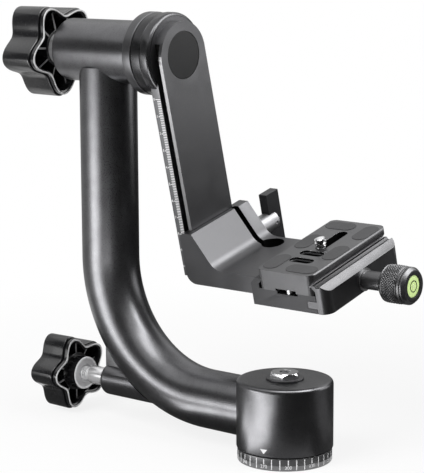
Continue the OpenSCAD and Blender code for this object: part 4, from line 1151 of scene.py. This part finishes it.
def knurl_groove(sign):
    """0 in the grooves that lean one way, and 1 half way between them."""
    lean = knurl_rule.product(height, given("Slope"), sign)
    phase = knurl_rule.math("ADD", knurl_rule.product(angle, given("Count")), lean)
    return knurl_rule.math("ABSOLUTE", knurl_rule.math("SINE", knurl_rule.product(phase, 0.5)))


raised = knurl_rule.math("MINIMUM", knurl_groove(1.0), knurl_groove(-1.0))
for test, value, limit in (("GREATER_THAN", height, "From"), ("LESS_THAN", height, "To"),
                           ("GREATER_THAN", radius, "Inside")):
    raised = knurl_rule.product(raised, knurl_rule.math(test, value, given(limit)))
knurl_rule.pushed(outwards, knurl_rule.product(raised, given("Height")))

# %% Knurled knob
KNOB_START, KNOB_RADIUS = 46.8, 10.7
KNURL_COUNT, KNURL_DEEP, KNURL_ROWS, KNURL_STEPS = 40, 0.6, 44, 384
clamp_axis = SWING @ at(KNOB_START, 0, -124.4) @ FACE_X
band = [(1.6 + 9.6 * i / KNURL_ROWS, KNOB_RADIUS - KNURL_DEEP) for i in range(KNURL_ROWS + 1)]
knob_outline = [
    (-14.3, 3.1), (-14.3, 5.2, 0.3), (-0.1, 5.2, 0.3), (0, 9.2, 0.3), (1.3, 10.4), *band,
    (11.5, 10.4), (11.9, 9.9), (12.3, 9.9), (12.4, 10.4, 0.2), (13.7, 10.4, 0.2), (13.8, 9.9),
    (14.2, 9.9), (14.3, 10.4, 0.2), (15.2, 10.4, 0.6), (17, 8.9, 0.3),
    (17, 8.55), (10.5, 8.55), (10.5, 3.1)]
grip = turned("clamp_knob_knurled", knob_outline, None, KNURL_STEPS, loop=True)
knurl_rule.run(grip, Count=KNURL_COUNT, Slope=KNURL_COUNT / (KNOB_RADIUS * MM),
               Height=KNURL_DEEP * MM, From=2.2 * MM, To=10.8 * MM, Inside=9 * MM,
               Finish=knob_anodised)
place_piece(grip, clamp_axis)
smooth(grip, 30)
held(grip, "clamp_knob", "anodised_black", "clamp_knob")

# %% Level
hold(turned("level_bezel_turned", [
    (10.5, 6.25), (10.5, 8.5), (17, 8.5, 0.3), (17, 6.25, 0.3)], clamp_axis, 96, loop=True),
     "clamp_knob", "cap_plastic", cap_plastic, "level_bezel")
# painted glow: the vial's green liquid and the bubble below glow
hold(turned("level_vial_domed", [
    (10.5, 0), (10.5, 6.2), (16.3, 6.2, 0.4), (16.7, 3, 1.0), (16.75, 0)], clamp_axis, 96),
     "clamp_knob", "level_liquid", level_green_painted_glow, "level_vial")
hold(turned("level_circle", [
    (16.6, 2.75), (16.6, 3.3), (16.8, 3.3), (16.8, 2.75)], clamp_axis, 64, loop=True),
     "clamp_knob", "level_liquid", level_black)
hold(turned("level_bubble", [
    (16.6, 0), (16.6, 1.5), (16.85, 1.3, 0.1), (16.9, 0)], clamp_axis, 48),
     "clamp_knob", "level_liquid", bubble_painted_glow)

# %% [markdown]
# ## The pieces inside
# Bushes, washers, pins and springs are hidden or almost hidden. Their solids stay as they are and
# get the finish of the real parts.

# %% Finishes for the solids that stay
STAYING = {
    screw_steel: ("pan_spindle", "push_rod", "press_washer", "arm_screws", "flange_screws",
                  "lever_screw", "lever_pin", "guide_pins", "jaw_springs", "thrust_washer",
                  "jaw_screw", "plate_stops"),
    bronze: ("pan_bushes", "rod_guide", "tilt_bushes", "brake_shoe"),
    nylon: ("pan_washer", "friction_washer", "screw_washer"),
}
for finish, nodes in STAYING.items():
    for node in nodes:
        cad[node].data.materials.clear()
        cad[node].data.materials.append(finish)
print("solids that stay:", sum(len(nodes) for nodes in STAYING.values()))
